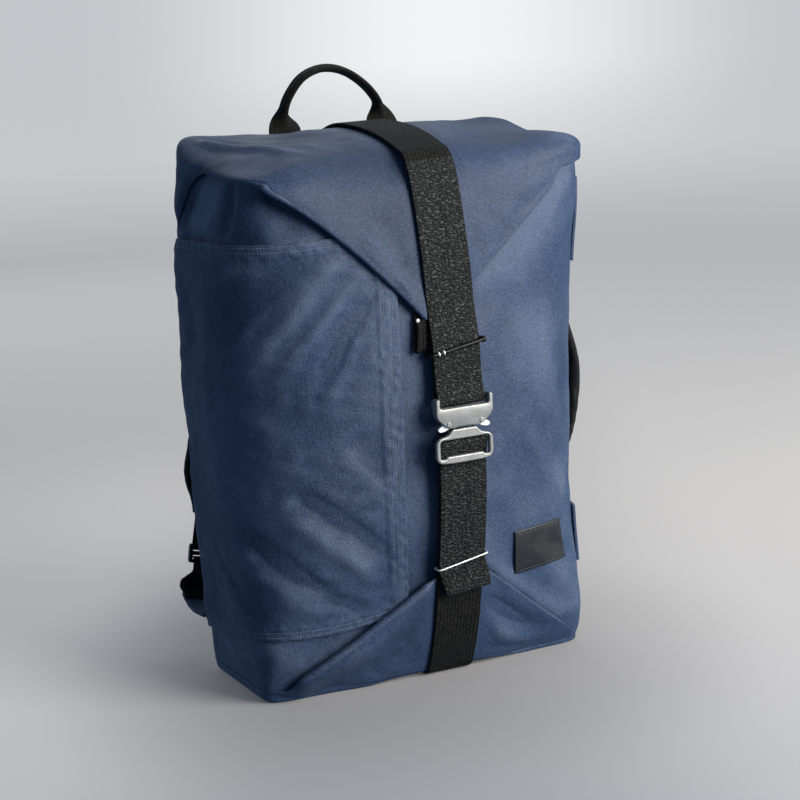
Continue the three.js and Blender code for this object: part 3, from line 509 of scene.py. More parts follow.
def panel_piece(name, points, wall, material, slot, node, wear_and_painted_shading=None, round_edge=0.5):
    """A piece of cloth from a grid of points on its outer face, given thickness inwards and soft edges."""
    rows, columns = points.shape[:2]
    quads = grid_faces(rows, columns, False)
    flat = points.reshape(-1, 3)
    corners = flat[quads]
    facing = np.cross(corners[:, 2] - corners[:, 0], corners[:, 3] - corners[:, 1]).mean(0)
    if facing[:2] @ flat.mean(0)[:2] < 0:
        quads = quads[:, ::-1]
    u, v = reach_along(points[rows // 2]), reach_along(points[:, columns // 2])
    uv = np.stack(np.meshgrid(u, v), -1).reshape(-1, 2)[quads].reshape(-1, 2) * MM
    wear_and_painted_shading = np.zeros(len(flat)) if wear_and_painted_shading is None else wear_and_painted_shading
    piece = add_piece(name, flat, quads.tolist(), material, slot, node, uv=uv, wear_and_painted_shading=wear_and_painted_shading)
    give_wall(piece, wall, -1, round_edge)


def resample(points, step, closed=False):
    """Evenly spaced points on a smooth curve through the given ones."""
    points = np.asarray(points, float)
    first, last = 2 * points[:1] - points[1:2], 2 * points[-1:] - points[-2:-1]
    chain = [points[-1:], points, points[:2]] if closed else [first, points, last]
    chain = np.concatenate(chain)
    fine = []
    for p0, p1, p2, p3 in zip(chain, chain[1:], chain[2:], chain[3:]):
        d1, d2, d3 = (max(np.linalg.norm(b - a), 1e-6) ** 0.5 for a, b in ((p0, p1), (p1, p2), (p2, p3)))
        m1 = (p2 - p1) + d2 * ((p1 - p0) / d1 - (p2 - p0) / (d1 + d2))
        m2 = (p2 - p1) + d2 * ((p3 - p2) / d3 - (p3 - p1) / (d2 + d3))
        t = np.linspace(0, 1, 12, endpoint=False)[:, None]
        fine.append(p1 * (2 * t**3 - 3 * t**2 + 1) + m1 * (t**3 - 2 * t**2 + t)
                    + p2 * (3 * t**2 - 2 * t**3) + m2 * (t**3 - t**2))
    fine = np.concatenate(fine + [chain[-2:-1]])
    length = reach_along(fine)
    places = np.linspace(0, length[-1], max(int(round(length[-1] / step)), 2) + 1)
    return read_along(length, fine, places)


def frame_along(path, across):
    """Directions along a path, across it and out of it."""
    along = unit(np.gradient(path, axis=0))
    across = np.broadcast_to(across, path.shape)
    side = unit(across - (across * along).sum(-1, keepdims=True) * along)
    return along, side, np.cross(along, side)


def ribbon(name, path, across, width, thick, material, slot, node=None, wide_points=9):
    """A woven strip with rounded edges along a path."""
    _, side, out = frame_along(path, across)
    width, thick = (np.broadcast_to(size, len(path))[:, None] for size in (width, thick))
    flat, turns = np.linspace(-1, 1, wide_points), np.array([60, 20, -20, -60]) * DEGREE
    run = np.r_[flat, np.ones(4), flat[::-1], -np.ones(4)]
    edge = np.r_[0 * flat, np.cos(turns), 0 * flat, -np.cos(turns)]
    high = np.r_[0 * flat + 1, np.sin(turns), 0 * flat - 1, -np.sin(turns)]
    s = run * (width - thick) / 2 + edge * thick / 2
    points = path[:, None] + side[:, None] * s[..., None] + out[:, None] * (high * thick / 2)[..., None]
    uv = np.stack([s, np.broadcast_to(reach_along(path)[:, None], s.shape)], -1).reshape(-1, 2) * MM
    faces = tube_faces(*s.shape)
    add_piece(name, points.reshape(-1, 3), faces, material, slot, node, uv=uv[np.concatenate(faces)])


def tube(path, radius, closed=False, sides=12):
    """Points and faces of a round wire along a path."""
    count = len(path)
    along = unit(np.roll(path, -1, 0) - np.roll(path, 1, 0) if closed else np.gradient(path, axis=0))
    side = unit(np.cross(along, Z_AXIS if abs(along[:, 2]).mean() < 0.7 else X_AXIS))
    up = np.cross(side, along)
    turns = (np.arange(sides) / sides * 2 * math.pi)[None, :, None]
    ring = np.cos(turns) * side[:, None] + np.sin(turns) * up[:, None]
    points = (path[:, None] + np.broadcast_to(radius, count)[:, None, None] * ring).reshape(-1, 3)
    if closed:
        return points, (grid_faces(count + 1, sides, True) % len(points)).tolist()
    return points, tube_faces(count, sides)


def joined(parts):
    points, faces, start = [], [], 0
    for part_points, part_faces in parts:
        points.append(part_points)
        faces += [[i + start for i in face] for face in part_faces]
        start += len(part_points)
    return np.concatenate(points), faces


STITCH_SHAPE = ((-1, 0.3), (-0.7, 0.85), (0, 1), (0.7, 0.85), (1, 0.3))
STITCH_SIDES = 6
STITCH_RISE = 0.3


def stitches(name, runs, material, slot, length=2.0, gap=0.7, radius=0.46):
    """Short rounded stitches along runs of points, each run with the cloth's normals."""
    turns = (np.arange(STITCH_SIDES) / STITCH_SIDES * 2 * math.pi)[:, None]
    parts = []
    for path, normals in runs:
        reach = reach_along(path)
        for start in np.arange(gap, reach[-1] - length, length + gap):
            a, b = read_along(reach, path, start), read_along(reach, path, start + length)
            up, along = unit(read_along(reach, normals, start + length / 2)), unit(b - a)
            ring = np.cos(turns) * unit(np.cross(up, along)) + np.sin(turns) * up
            middle = (a + b) / 2 + up * radius * STITCH_RISE
            rings = [middle + along * length / 2 * at + radius * size * ring for at, size in STITCH_SHAPE]
            parts.append((np.concatenate(rings), tube_faces(len(rings), STITCH_SIDES)))
    add_piece(name, *joined(parts), material, slot)


# Materials


class Wire:
    """A node's output, which sums can be written with."""

    def __init__(self, nodes, socket):
        self.nodes, self.socket = nodes, socket

    def __add__(self, other):
        return self.nodes.math("ADD", self, other)

    def __sub__(self, other):
        return self.nodes.math("SUBTRACT", self, other)

    def __mul__(self, other):
        return self.nodes.math("MULTIPLY", self, other)

    def __truediv__(self, other):
        return self.nodes.math("DIVIDE", self, other)


class Nodes:
    """A material's node tree, with short ways to add to it."""

    def __init__(self, name):
        self.material = bpy.data.materials.new(name)
        self.material.use_nodes = True
        self.tree = self.material.node_tree
        self.place, self.flat = (self.add("TexCoord", (), output) for output in ("Object", "UV"))

    def add(self, kind, inputs, output=0, **settings):
        """One output of a new node, whose inputs are given in order, or by name or number."""
        node = self.tree.nodes.new("ShaderNode" + kind)
        for key, value in settings.items():
            setattr(node, key, value)
        for key, value in inputs.items() if isinstance(inputs, dict) else enumerate(inputs):
            self.put(node.inputs[key], value)
        return Wire(self, node.outputs[output])

    def put(self, socket, value):
        if isinstance(value, Wire):
            self.tree.links.new(value.socket, socket)
        else:
            socket.default_value = (*value, 1.0) if socket.type == "RGBA" else value

    def math(self, operation, a, b=0.0):
        return self.add("Math", (a, b), operation=operation)

    def wave(self, value, pitch):
        return self.math("SINE", value * (2 * math.pi / pitch))

    def scaled(self, vector, scale, rotation=(0.0, 0.0, 0.0)):
        return self.add("Mapping", {"Vector": vector, "Scale": scale, "Rotation": rotation})

    def noise(self, vector, scale, detail=3.0, roughness=0.55, distortion=0.0):
        inputs = {"Vector": vector, "Scale": scale, "Detail": detail, "Roughness": roughness}
        return self.add("TexNoise", {**inputs, "Distortion": distortion}, "Fac")

    def warped(self, vector, scale, detail, by):
        """A vector moved about by noise."""
        moves = self.add("TexNoise", {"Vector": vector, "Scale": scale, "Detail": detail}, "Color")
        return self.add("VectorMath", (moves, by, vector), operation="MULTIPLY_ADD")

    def cells(self, vector, scale, feature="F1"):
        return self.add("TexVoronoi", {"Vector": vector, "Scale": scale}, "Distance", feature=feature)

    def parts(self, vector):
        return (self.add("SeparateXYZ", (vector,), part) for part in (0, 1))

    def span(self, value, low, high, to_low=0.0, to_high=1.0):
        return self.add("MapRange", (value, low, high, to_low, to_high), interpolation_type="SMOOTHSTEP")

    def mix(self, share, a, b):
        return self.add("Mix", {0: share, 6: a, 7: b}, 2, data_type="RGBA")

    def bump(self, height, distance, strength=1.0, after=None):
        inputs = {"Height": height, "Distance": distance, "Strength": strength}
        return self.add("Bump", {**inputs, "Normal": after} if after else inputs)

    def finish(self, **sockets):
        shader = self.tree.nodes["Principled BSDF"]
        for key, value in sockets.items():
            self.put(shader.inputs[key.replace("_", " ")], value)
        return self.material


THREAD_PITCH = 0.0016
CREASE_LINES = ((13.0, 9.0, 0.05, 0.10), (27.0, 14.0, 0.06, 0.07))


def crease_lines(n, scale, mask_scale, width, strength):
    """Thin broken lines where the wax has cracked along old creases."""
    edges = n.cells(n.warped(n.place, scale, 3.0, (1.1 / scale,) * 3), scale, "DISTANCE_TO_EDGE")
    mask = n.span(n.noise(n.place, mask_scale, 2.0), 0.54, 0.68, 0.0, strength)
    return n.span(edges, 0.0, width, 1.0, 0.0) * mask


def canvas_material(name, dark, light, dust):
    """Waxed canvas: plain weave with uneven yarns, worn paler on ridges and along faint chalky creases, and a
    per-point value that also paints shade into fold valleys and under the hood's apron and light onto the
    bulge in the arch.
    """
    n = Nodes(name)
    u, v = n.parts(n.warped(n.flat, 70.0, 2.0, (0.002, 0.002, 0.0)))
    thread = n.wave(u, THREAD_PITCH) * n.wave(v, THREAD_PITCH)
    # Per-point value: worn paleness on ridges and edges, with painted shade in valleys and hollows and
    # painted light on the arch's bulge.
    wear_and_painted_shading = n.add("Attribute", (), "Fac", attribute_name="wear_and_painted_shading")
    broad = n.noise(n.place, 6.0)
    cloudy = n.noise(n.scaled(n.place, (1.0, 1.0, 0.4), (0.2, 0.6, 0.0)), 24.0, 4.0)
    grain = n.noise(n.place, 700.0, 2.0, 0.7)
    stretches = ((160.0, 950.0, 1.0), (950.0, 160.0, 1.0))
    weft, warp = (n.noise(n.scaled(n.flat, stretch), 1.0, 2.0) for stretch in stretches)
    coarse, fine = (crease_lines(n, *row) for row in CREASE_LINES)
    chalk, yarns = coarse + fine, (weft - 0.5) + (warp - 0.5)
    # Tone and the dust share both follow that value, so they carry its painted shade and light along with
    # real wear.
    tone = (grain - 0.5) * 2.4 + yarns * 1.2 + n.span(broad, 0.3, 0.7, 0.35, 0.65) + wear_and_painted_shading * 0.18
    rub_with_painted_shading = n.span(cloudy, 0.45, 0.8, 0.02, 0.16) + wear_and_painted_shading * 0.2
    share = (rub_with_painted_shading + chalk) * n.span(grain, 0.3, 0.7, 0.6, 1.4)
    base = n.mix(n.span(tone, -0.35, 1.35), dark, light)
    bumps = n.bump(grain + yarns, 0.0005, 0.5, n.bump(thread, 0.0002, 0.25))
    bumps = n.bump(n.noise(n.place, 110.0, 4.0, 0.6), 0.0013, 0.35, n.bump(chalk, 0.0015, 0.6, bumps))
    return n.finish(Base_Color=n.mix(n.math("MAXIMUM", share, 0.0), base, dust), Normal=bumps,
                    Roughness=n.span(share, 0.0, 0.4, 0.6, 0.75), Specular_IOR_Level=0.28,
                    Sheen_Weight=0.02, Sheen_Roughness=0.5, Sheen_Tint=(0.8, 0.85, 0.92))


def crepe_material(name, dark, light, wide, high, depth):
    """Coarse webbing: short wavy floats, with painted shade in the gaps between them and a painted glint on
    the highest of them.
    """
    n = Nodes(name)
    u, v = n.parts(n.flat)
    across = u / wide
    lean = n.math("SINE", across * 0.9) * 0.6
    place = n.add("CombineXYZ", (across, v / high + lean))
    hump = n.noise(place, 1.0, 1.0, 0.4, 0.5) + n.wave(across, 1.0) * 0.035
    fuzz = n.noise(n.scaled(n.flat, (1500.0, 700.0, 1.0)), 1.0, 2.0)
    # Colour follows float height: dark gaps as painted shade, bright tops as a painted highlight.
    tone = n.span(hump, 0.36, 0.56, 0.0, 0.14) + n.span(hump, 0.54, 0.68, 0.0, 0.86)
    shade = n.mix(tone * n.span(fuzz, 0.25, 0.75, 0.6, 1.0), dark, light)
    bumps = n.bump(fuzz, 0.00015, 0.5, n.bump(n.span(hump, 0.34, 0.66), depth))
    return n.finish(Base_Color=shade, Roughness=n.span(fuzz, 0.0, 1.0, 0.5, 0.7), Normal=bumps,
                    Specular_IOR_Level=0.2)


def twill_material(name, dark, light, pitch, depth):
    """Fine webbing: slanting ribs along the strap's length, with darker edges between the yarns."""
    n = Nodes(name)
    u, v = n.parts(n.flat)
    ribs = n.math("ABSOLUTE", n.wave(u, pitch * 3.2))
    yarn = n.wave(ribs * (pitch * 0.7) + v, pitch)
    fuzz, worn = n.noise(n.place, 430.0, 2.0, 0.6), n.noise(n.place, 28.0)
    height = ribs * 0.7 + yarn * 0.5
    tone = n.span(height, -0.2, 1.1) * n.span(fuzz, 0.35, 0.68, 0.02, 1.0)
    shade = n.mix(tone * 0.85 + n.span(worn, 0.5, 0.8, 0.0, 0.2), dark, light)
    bumps = n.bump(fuzz, 0.0004, 0.6, n.bump(height, depth, 0.8))
    return n.finish(Base_Color=shade, Roughness=n.span(fuzz, 0.2, 0.8, 0.6, 0.8), Normal=bumps,
                    Specular_IOR_Level=0.12)


def padding_material(name, dark, light):
    """Black padded cloth with a fine cell-like knit."""
    n = Nodes(name)
    knit, cloudy = n.cells(n.place, 620.0, "SMOOTH_F1"), n.noise(n.place, 40.0, 4.0)
    shade = n.mix(n.span(knit, 0.1, 0.6, 1.0, 0.2) * n.span(cloudy, 0.2, 0.8, 0.5, 1.0), dark, light)
    bumps = n.bump(n.noise(n.place, 70.0, 4.0), 0.0015, 0.4, n.bump(knit, -0.0004, 0.7))
    rough = n.span(n.noise(n.place, 1100.0, 2.0), 0.2, 0.8, 0.7, 0.9)
    return n.finish(Base_Color=shade, Roughness=rough, Normal=bumps, Specular_IOR_Level=0.2,
                    Sheen_Weight=0.04, Sheen_Roughness=0.5)


def patch_material(name, dark, light):
    """Dark leather with fine pores."""
    n = Nodes(name)
    cloudy = n.noise(n.place, 60.0, 5.0)
    bumps = n.bump(cloudy, 0.0006, 0.3, n.bump(n.cells(n.place, 900.0), 0.00025, 0.5))
    return n.finish(Base_Color=n.mix(n.span(cloudy, 0.3, 0.75), dark, light), Normal=bumps,
                    Roughness=n.span(cloudy, 0.3, 0.8, 0.42, 0.6), Specular_IOR_Level=0.45)


def metal_material(name, dark, light, rough, grain, metallic, specular):
    """Metal or paint on metal, brushed and unevenly polished."""
    n = Nodes(name)
    cloudy = n.noise(n.place, 90.0, 5.0)
    brushed = n.noise(n.scaled(n.place, (0.12, 1.0, 1.0)), 1800.0, 2.0)
    roughness = n.span(brushed, 0.2, 0.8, rough - 0.05, rough + 0.07) + n.span(cloudy, 0.5, 0.8, 0.0, 0.05)
    return n.finish(Base_Color=n.mix(n.span(cloudy, 0.3, 0.7), dark, light), Metallic=metallic,
                    Roughness=roughness, Normal=n.bump(n.noise(n.place, 2400.0), grain, 0.4),
                    Specular_IOR_Level=specular)


def thread_material(name, dark, light):
    n = Nodes(name)
    twist = n.noise(n.scaled(n.place, (1.0, 1.0, 3.0)), 1500.0, 2.0)
    return n.finish(Base_Color=n.mix(n.span(twist, 0.3, 0.7), dark, light), Roughness=0.7,
                    Normal=n.bump(twist, 0.0002, 0.5), Sheen_Weight=0.2)


CANVAS_BLUE = canvas_material(
    "waxed_canvas", (0.006, 0.015, 0.037), (0.031, 0.054, 0.107), (0.12, 0.15, 0.20))
CREPE = crepe_material(
    "coarse_webbing", (0.0012, 0.0013, 0.0012), (0.036, 0.040, 0.037), 0.0036, 0.0014, 0.0011)
TWILL = twill_material("fine_webbing", (0.0008, 0.0008, 0.0007), (0.021, 0.0195, 0.015), 0.0022, 0.0005)
PADDING = padding_material("padded_cloth", (0.002, 0.002, 0.0022), (0.010, 0.010, 0.0105))
PATCH = patch_material("label_leather", (0.0075, 0.0083, 0.0088), (0.0135, 0.0148, 0.0155))
ALLOY = metal_material("satin_alloy", (0.20, 0.202, 0.192), (0.26, 0.262, 0.25), 0.42, 0.00006, 0.55, 0.5)
STEEL = metal_material("bright_steel", (0.55, 0.55, 0.54), (0.66, 0.66, 0.65), 0.36, 0.00003, 0.45, 0.5)
BLACK_METAL = metal_material(
    "black_metal", (0.0015, 0.0015, 0.0016), (0.003, 0.003, 0.0032), 0.4, 0.00004, 0.0, 0.18)
GLOSS_BLACK = metal_material(
    "gloss_black", (0.003, 0.003, 0.0033), (0.007, 0.007, 0.0075), 0.2, 0.00002, 0.0, 0.6)
BLUE_THREAD = thread_material("blue_thread", (0.03, 0.048, 0.086), (0.068, 0.096, 0.148))
BLACK_THREAD = thread_material("black_thread", (0.012, 0.012, 0.012), (0.05, 0.05, 0.052))


# Canvas pieces


def sack_relief(angle, z):
    """Height of the sack's folds and unevenness, low under the hood and the base."""
    points = on_sack(angle, z)
    relief = folds(arc(angle), z, SACK_FOLDS) + ripples(points, (0.7, 95, 3), (0.28, 30, 5))
    inside = between(angle, 50, 60, 100, 106) * smooth(z, 400, 412)
    relief = relief + inside * (folds(arc(angle), z, TUCK_FOLDS) + ripples(points, (0.5, 34, 8)))
    for beyond in (hood_rim(angle) - z, z - base_rim(angle)):
        relief = relief + 2.0 * between(-angle, 14, 22, 56, 66) * between(beyond, 0.3, 4, 8, 40)
        relief = np.where((beyond < 0) & (angle < 0), np.minimum(relief, 0.4), relief)
    return relief * lerp(smooth(z, 4, 16), smooth(z, 14, 40), smooth(np.abs(angle), 54, 64))


def build_sack():
    """The sack from its floor to its mouth, which rises into the hood's arch on the left."""
    arch = between(ANGLES, 50, 58, 98, 106)
    top = lerp(MOUTH, np.maximum(MOUTH, hood_foot(ANGLES) + 1.6), arch)
    # Painted light on the bulge under the arch's left part, and painted shade on the gusset under the hood's
    # apron, near the top of the sack.
    rubbed_and_painted_shading = between(ANGLES, 76, 84, 94, 100) - 0.9 * between(ANGLES, 40, 50, 68, 78)
    rows = [on_sack(ANGLES, 5.0) * (share, share, 0) + (0, 0, 6.2) for share in (0.25, 0.5, 0.75, 0.92)]
    wear_and_painted_shading = [np.zeros(COLUMNS)] * len(rows)
    for share in np.linspace(0, 1, 132) ** 0.96:
        z = lerp(base_turn(ANGLES) + 1, top, share)
        relief = sack_relief(ANGLES, z)
        out = np.minimum(relief, 2.4) - tuck_at(ANGLES, z) + foot_flare(ANGLES, z)
        rows.append(off_sack(ANGLES, z, out))
        # Fold ridges paler as worn canvas, fold valleys darker as painted shade.
        wear_and_painted_shading.append(np.clip(relief / 2.6, -1, 1) + rubbed_and_painted_shading * smooth(z, 404, 412))
    outer = np.array(rows)
    shell_piece("canvas_sack", outer, -grid_normals(outer, True), CANVAS, np.array(wear_and_painted_shading), "sack")


def drawn_in(edge, by):
    """An outline drawn in towards the middle."""
    return edge * (1 - by / np.hypot(edge[:, 0], edge[:, 1]))[:, None]


def hood_edge(angle):
    """Outline where the hood's sides begin, and how far in and down its turned edge reaches."""
    edge = off_sack(angle, SHOULDER, stand_off(angle))
    return edge, column(HOOD_TURN, "angle", angle, "reach"), column(HOOD_TURN, "angle", angle, "drop")


def hood_foot(angle):
    """Height of the hood's lower rim, which stays below its turned edge."""
    edge, _, drop = hood_edge(angle)
    return np.minimum(hood_rim(angle), hood_top_z(edge[:, 0], edge[:, 1]) - drop - 1)


def hood_profile(angles, flat, turns, sides, out):
    """Rows of the hood from the middle of its top, round its turned edge and down to its foot."""
    edge, reach, drop = hood_edge(angles)
    rows = [drawn_in(edge, reach) * share for share in flat]
    for row in rows:
        row[:, 2] = hood_top_z(row[:, 0], row[:, 1])
    start_z, end_z = rows[-1][:, 2], hood_top_z(edge[:, 0], edge[:, 1]) - drop
    for turn in turns:
        rows.append(drawn_in(edge, reach * (1 - math.sin(turn))))
        rows[-1][:, 2] = lerp(start_z, end_z, 1 - math.cos(turn))
    foot = hood_foot(angles)
    for share in sides:
        z = lerp(end_z, foot, share)
        low = np.minimum(z, SHOULDER)
        rows.append(off_sack(angles, low, out(z)) + Z_AXIS * (z - low)[:, None])
    return np.array(rows)


def build_hood():
    """The hood: its top, an apron with a rolled hem in front and an open arch on the left."""
    flat_rows, turn_rows, side_rows = 42, 12, 66
    stand, foot = stand_off(ANGLES), hood_foot(ANGLES)
    diagonal = between(ANGLES, 3, 9, 58.5, 62)
    arch = between(ANGLES, 58.5, 63, 104, 110)
    corner = between(ANGLES, 98, 106, 116, 124)
    close = np.maximum(smooth(-ANGLES, 13, 22), smooth(ANGLES, 100, 108))
    at_rim = lerp(lerp(lerp(7.4, 9.8, diagonal), 2.7, close), 0.85, corner)

    def out(z):
        near = 1 - smooth(z - foot, 0, np.where(ANGLES > 0, 34, 66))
        tucked = np.clip(1 - (z - foot) / 15, 0, 0.995)
        inward = (1 - np.sqrt(1 - tucked**2)) * arch
        return lerp(lerp(stand, at_rim, near * (1 - arch)), 2.9 - 2 * corner - tuck_at(ANGLES, foot), inward)

    flat, sides = np.linspace(0.03, 1, flat_rows), np.linspace(0, 1, side_rows + 1)[1:]
    outer = hood_profile(ANGLES, flat, np.linspace(0, QUARTER, turn_rows + 2)[1:-1], sides, out)
    row = np.arange(len(outer))
    soft = between(row, flat_rows - 12, flat_rows - 2, flat_rows + turn_rows + 8, len(outer) - 20)
    for _ in range(60):
        outer[1:-1] += 0.5 * soft[1:-1, None, None] * ((outer[:-2] + outer[2:]) / 2 - outer[1:-1])
    x, y, z = outer[..., 0], outer[..., 1], outer[..., 2]
    level = np.r_[np.ones(flat_rows), np.linspace(1, 0, turn_rows), np.zeros(side_rows)][:, None]
    skirt = np.r_[np.zeros(flat_rows), np.linspace(0, 1, turn_rows + side_rows) ** 0.5][:, None]
    relief = level * folds(x, y, HOOD_TOP_FOLDS) + skirt * folds(arc(ANGLES)[None], z, HOOD_FRONT_FOLDS)
    relief = (relief + ripples(outer, (0.6, 80, 11), (0.22, 26, 12))) * fade_by_strap(x, z)
    hang = 1 - smooth(z - foot, 0, 10)
    relief = np.clip(relief * (1 - hang * lerp(1.0, 0.5, diagonal)), -2.8, 4.4)
    outer = outer + grid_normals(outer, True) * relief[..., None]
    nose = (0.5 * bell(ANGLES - 60.5, 4.5) * (row >= flat_rows + turn_rows)[:, None])[..., None]
    for _ in range(14):
        outer = outer + nose * ((np.roll(outer, 1, 1) + np.roll(outer, -1, 1)) / 2 - outer)
    normals = grid_normals(outer, True)
    for _ in range(8):
        beside = np.roll(normals, 1, 1) + np.roll(normals, -1, 1)
        normals = unit(np.r_[normals[:1], normals[:-1]] + np.r_[normals[1:], normals[-1:]] + beside)
    thick = lerp(lerp(1.9, 4.4, diagonal), 0.7, corner)
    wall = lerp(lerp(1.9, 0.7, corner), thick, 1 - smooth(z - foot, 3, 13))
    # Painted shade on the front apron left of the strap, which faces the light.
    apron = between(ANGLES, 4, 12, 50, 62) * smooth(row, flat_rows - 16, flat_rows)[:, None]
    hem = 0.8 * (1 - smooth(z - foot, 1, 5)) * (skirt > 0) * (diagonal + 0.3 * arch)
    # Fold ridges and the rolled hem paler as worn canvas; fold valleys and the apron darker as painted shade;
    # the whole hood a little darker.
    wear_and_painted_shading = np.clip(relief / 2.6, -1, 1) - 0.4 - 1.2 * apron + hem
    shell_piece("canvas_hood", outer, normals, wall, wear_and_painted_shading, "top_hood")
    build_hem_curl((outer[-1] - normals[-1] * wall[-1][:, None] / 2)[(ANGLES > 51) & (ANGLES < 59)])


def build_hem_curl(hem):
    """The thick rolled end of the hood's hem, under its top."""
    along = unit(hem[-1] - hem[-5])
    path = resample([hem[0], hem[len(hem) // 2], hem[-1], hem[-1] + along * 6.5 + Z_AXIS * 0.6], 0.6)
    share = np.linspace(0, 1, len(path))
    radius = (2.2 + 1.1 * smooth(share, 0.2, 0.8)) * np.sqrt(1 - np.clip((share - 0.86) / 0.141, 0, 1) ** 2)
    points, faces = tube(path, radius, sides=16)
    add_piece("hem_curl", points, faces, CANVAS_BLUE, "canvas", wear_and_painted_shading=np.full(len(points), 0.5))


def base_z(x):
    """Height of the base's underside, raised where the strap passes under it."""
    return 3.5 * (1 - smooth(np.abs(x - BASE_APRON_LEFT["tip_x"]), 42, 86))


def base_stand(angle):
    return lerp(BASE_SIDE, FOLD_STAND_OFF, frontness(angle)) + foot_flare(angle, 8.0)


def base_profile(angles, flat, bends, sides, out):
    """Rows of the base from the middle of its underside, round its lower edge and up to its rim."""
    size, rim = base_turn(angles), base_rim(angles)
    edge = off_sack(angles, size + 1, base_stand(angles))
    rows = [drawn_in(edge, size) * share for share in flat]
    for row in rows:
        row[:, 2] = base_z(row[:, 0])
    for bend in bends:
        bent = drawn_in(edge, size * (1 - math.sin(bend * QUARTER)))
        bent[:, 2] = base_z(bent[:, 0]) * (1 - bend) + size * (1 - math.cos(bend * QUARTER))
        rows.append(bent)
    for share in sides:
        z = lerp(size + 1, rim, share)
        rows.append(off_sack(angles, z, out(z)))
    return np.array(rows)


def build_base():
    """The base, with an apron that rises in front in a thick fold on the left."""
    flat_rows, turn_rows, side_rows = 16, 8, 60
    stand, rim = base_stand(ANGLES), base_rim(ANGLES)
    left = between(ANGLES, 3, 12, 60, 68)
    at_rim = lerp(lerp(7.4, 13.0, left), 2.6, smooth(-ANGLES, 24, 36))
    at_rim = lerp(at_rim, BASE_SIDE, smooth(np.abs(ANGLES), 60, 69)) + foot_flare(ANGLES, rim)

    def out(z):
        return lerp(stand, at_rim, 1 - smooth(rim - z, 0, np.where(ANGLES > 0, 26, 46)))

    flat, sides = np.linspace(0.05, 1, flat_rows), np.linspace(0, 1, side_rows + 1)[1:]
    outer = base_profile(ANGLES, flat, np.linspace(0, 1, turn_rows + 2)[1:-1], sides, out)
    x, z = outer[..., 0], outer[..., 2]
    skirt = (np.arange(len(outer)) >= flat_rows + turn_rows)[:, None] * smooth(z, 6, 16) * frontness(ANGLES)
    relief = folds(arc(ANGLES)[None], z, BASE_FRONT_FOLDS) + ripples(outer, (0.5, 60, 21), (0.2, 24, 22))
    hang = 1 - smooth(rim - z, 0, 10)
    relief = skirt * relief * fade_by_strap(x, z) * (1 - hang * np.where(ANGLES > 3, 0.4, 1.0))
    outer = outer - grid_normals(outer, True) * np.clip(relief, -2.6, 2.8)[..., None]
    thick = lerp(lerp(1.9, 8.5, left), 0.35, smooth(np.abs(ANGLES), 60, 70))
    wall = lerp(np.minimum(1.9, thick), thick, 1 - smooth(rim - z, 4, 16))
    # Fold ridges and the rim paler as worn canvas, fold valleys darker as painted shade, and the whole base
    # darker.
    wear_and_painted_shading = np.clip(relief / 2.4, -1, 1) - 0.7 + 0.8 * (1 - smooth(rim - z, 1, 5)) * (skirt > 0)
    shell_piece("canvas_base", outer, -grid_normals(outer, True), wall, wear_and_painted_shading, "base_fold")


POCKET = {"hem_angle": 19.5, "back_angle": 107.0, "radius": 115, "hem": 18.0, "ease": 1.5, "clear": 0.9}
POCKET_SEAMS = table("angle low high", (19, 72, 406), (45, 64, 405), (75, 59, 402), (107, 44, 396))
HEM_ROWS = (5.5, 12.5)
SEAM_ROWS = (2.6, 6.8)


def seam_z(angle, name):
    return column(POCKET_SEAMS, "angle", angle, name)


def pocket_surface(angle, z):
    """Points on the pocket's outer face, and how pale or dark it is: paler on fold ridges and near its seams
    and hem as worn canvas, darker in fold valleys as painted shade.
    """
    from_hem = (angle - POCKET["hem_angle"]) * DEGREE * POCKET["radius"]
    inside = np.minimum(seam_z(angle, "high") - z, z - seam_z(angle, "low"))
    points = on_sack(angle, z)
    soft = folds(arc(angle), z, POCKET_FOLDS) + ripples(points, (0.55, 70, 31), (0.22, 22, 32))
    soft = soft * smooth(from_hem, 6, 26) * smooth(inside, 2, 26)
    ease = np.maximum(POCKET["ease"] * smooth(inside, -8, 22) + soft, -0.2)
    hem = 1 - smooth(from_hem, POCKET["hem"] - 2.5, POCKET["hem"] + 0.5)
    band = 1 - smooth(inside, 10.5, 13)
    rows = [(from_hem, row) for row in HEM_ROWS] + [(inside, row) for row in SEAM_ROWS]
    sewn = sum(bell(distance - row, 0.9) for distance, row in rows)
    edge = np.maximum(1 - smooth(from_hem, 12, 26), 1 - smooth(inside, 8, 22))
    pucker = ripples(points, (0.25, 9, 33)) * edge
    out = POCKET["clear"] + ease + POCKET_WALL + np.maximum(0.9 * hem, 0.7 * band)
    out = out - 0.35 * np.minimum(sewn, 1) + pucker - tuck_at(angle, z)
    # Near the seams and hem the canvas is worn paler; the folds add paler ridges as wear and darker valleys
    # as painted shade.
    rubbed_and_painted_shading = np.maximum(1 - smooth(inside, 2, 12), 1 - smooth(from_hem, 8, 20))
    return off_sack(angle, z, out), np.clip(soft / 3.0, -1, 1) + 0.3 * rubbed_and_painted_shading


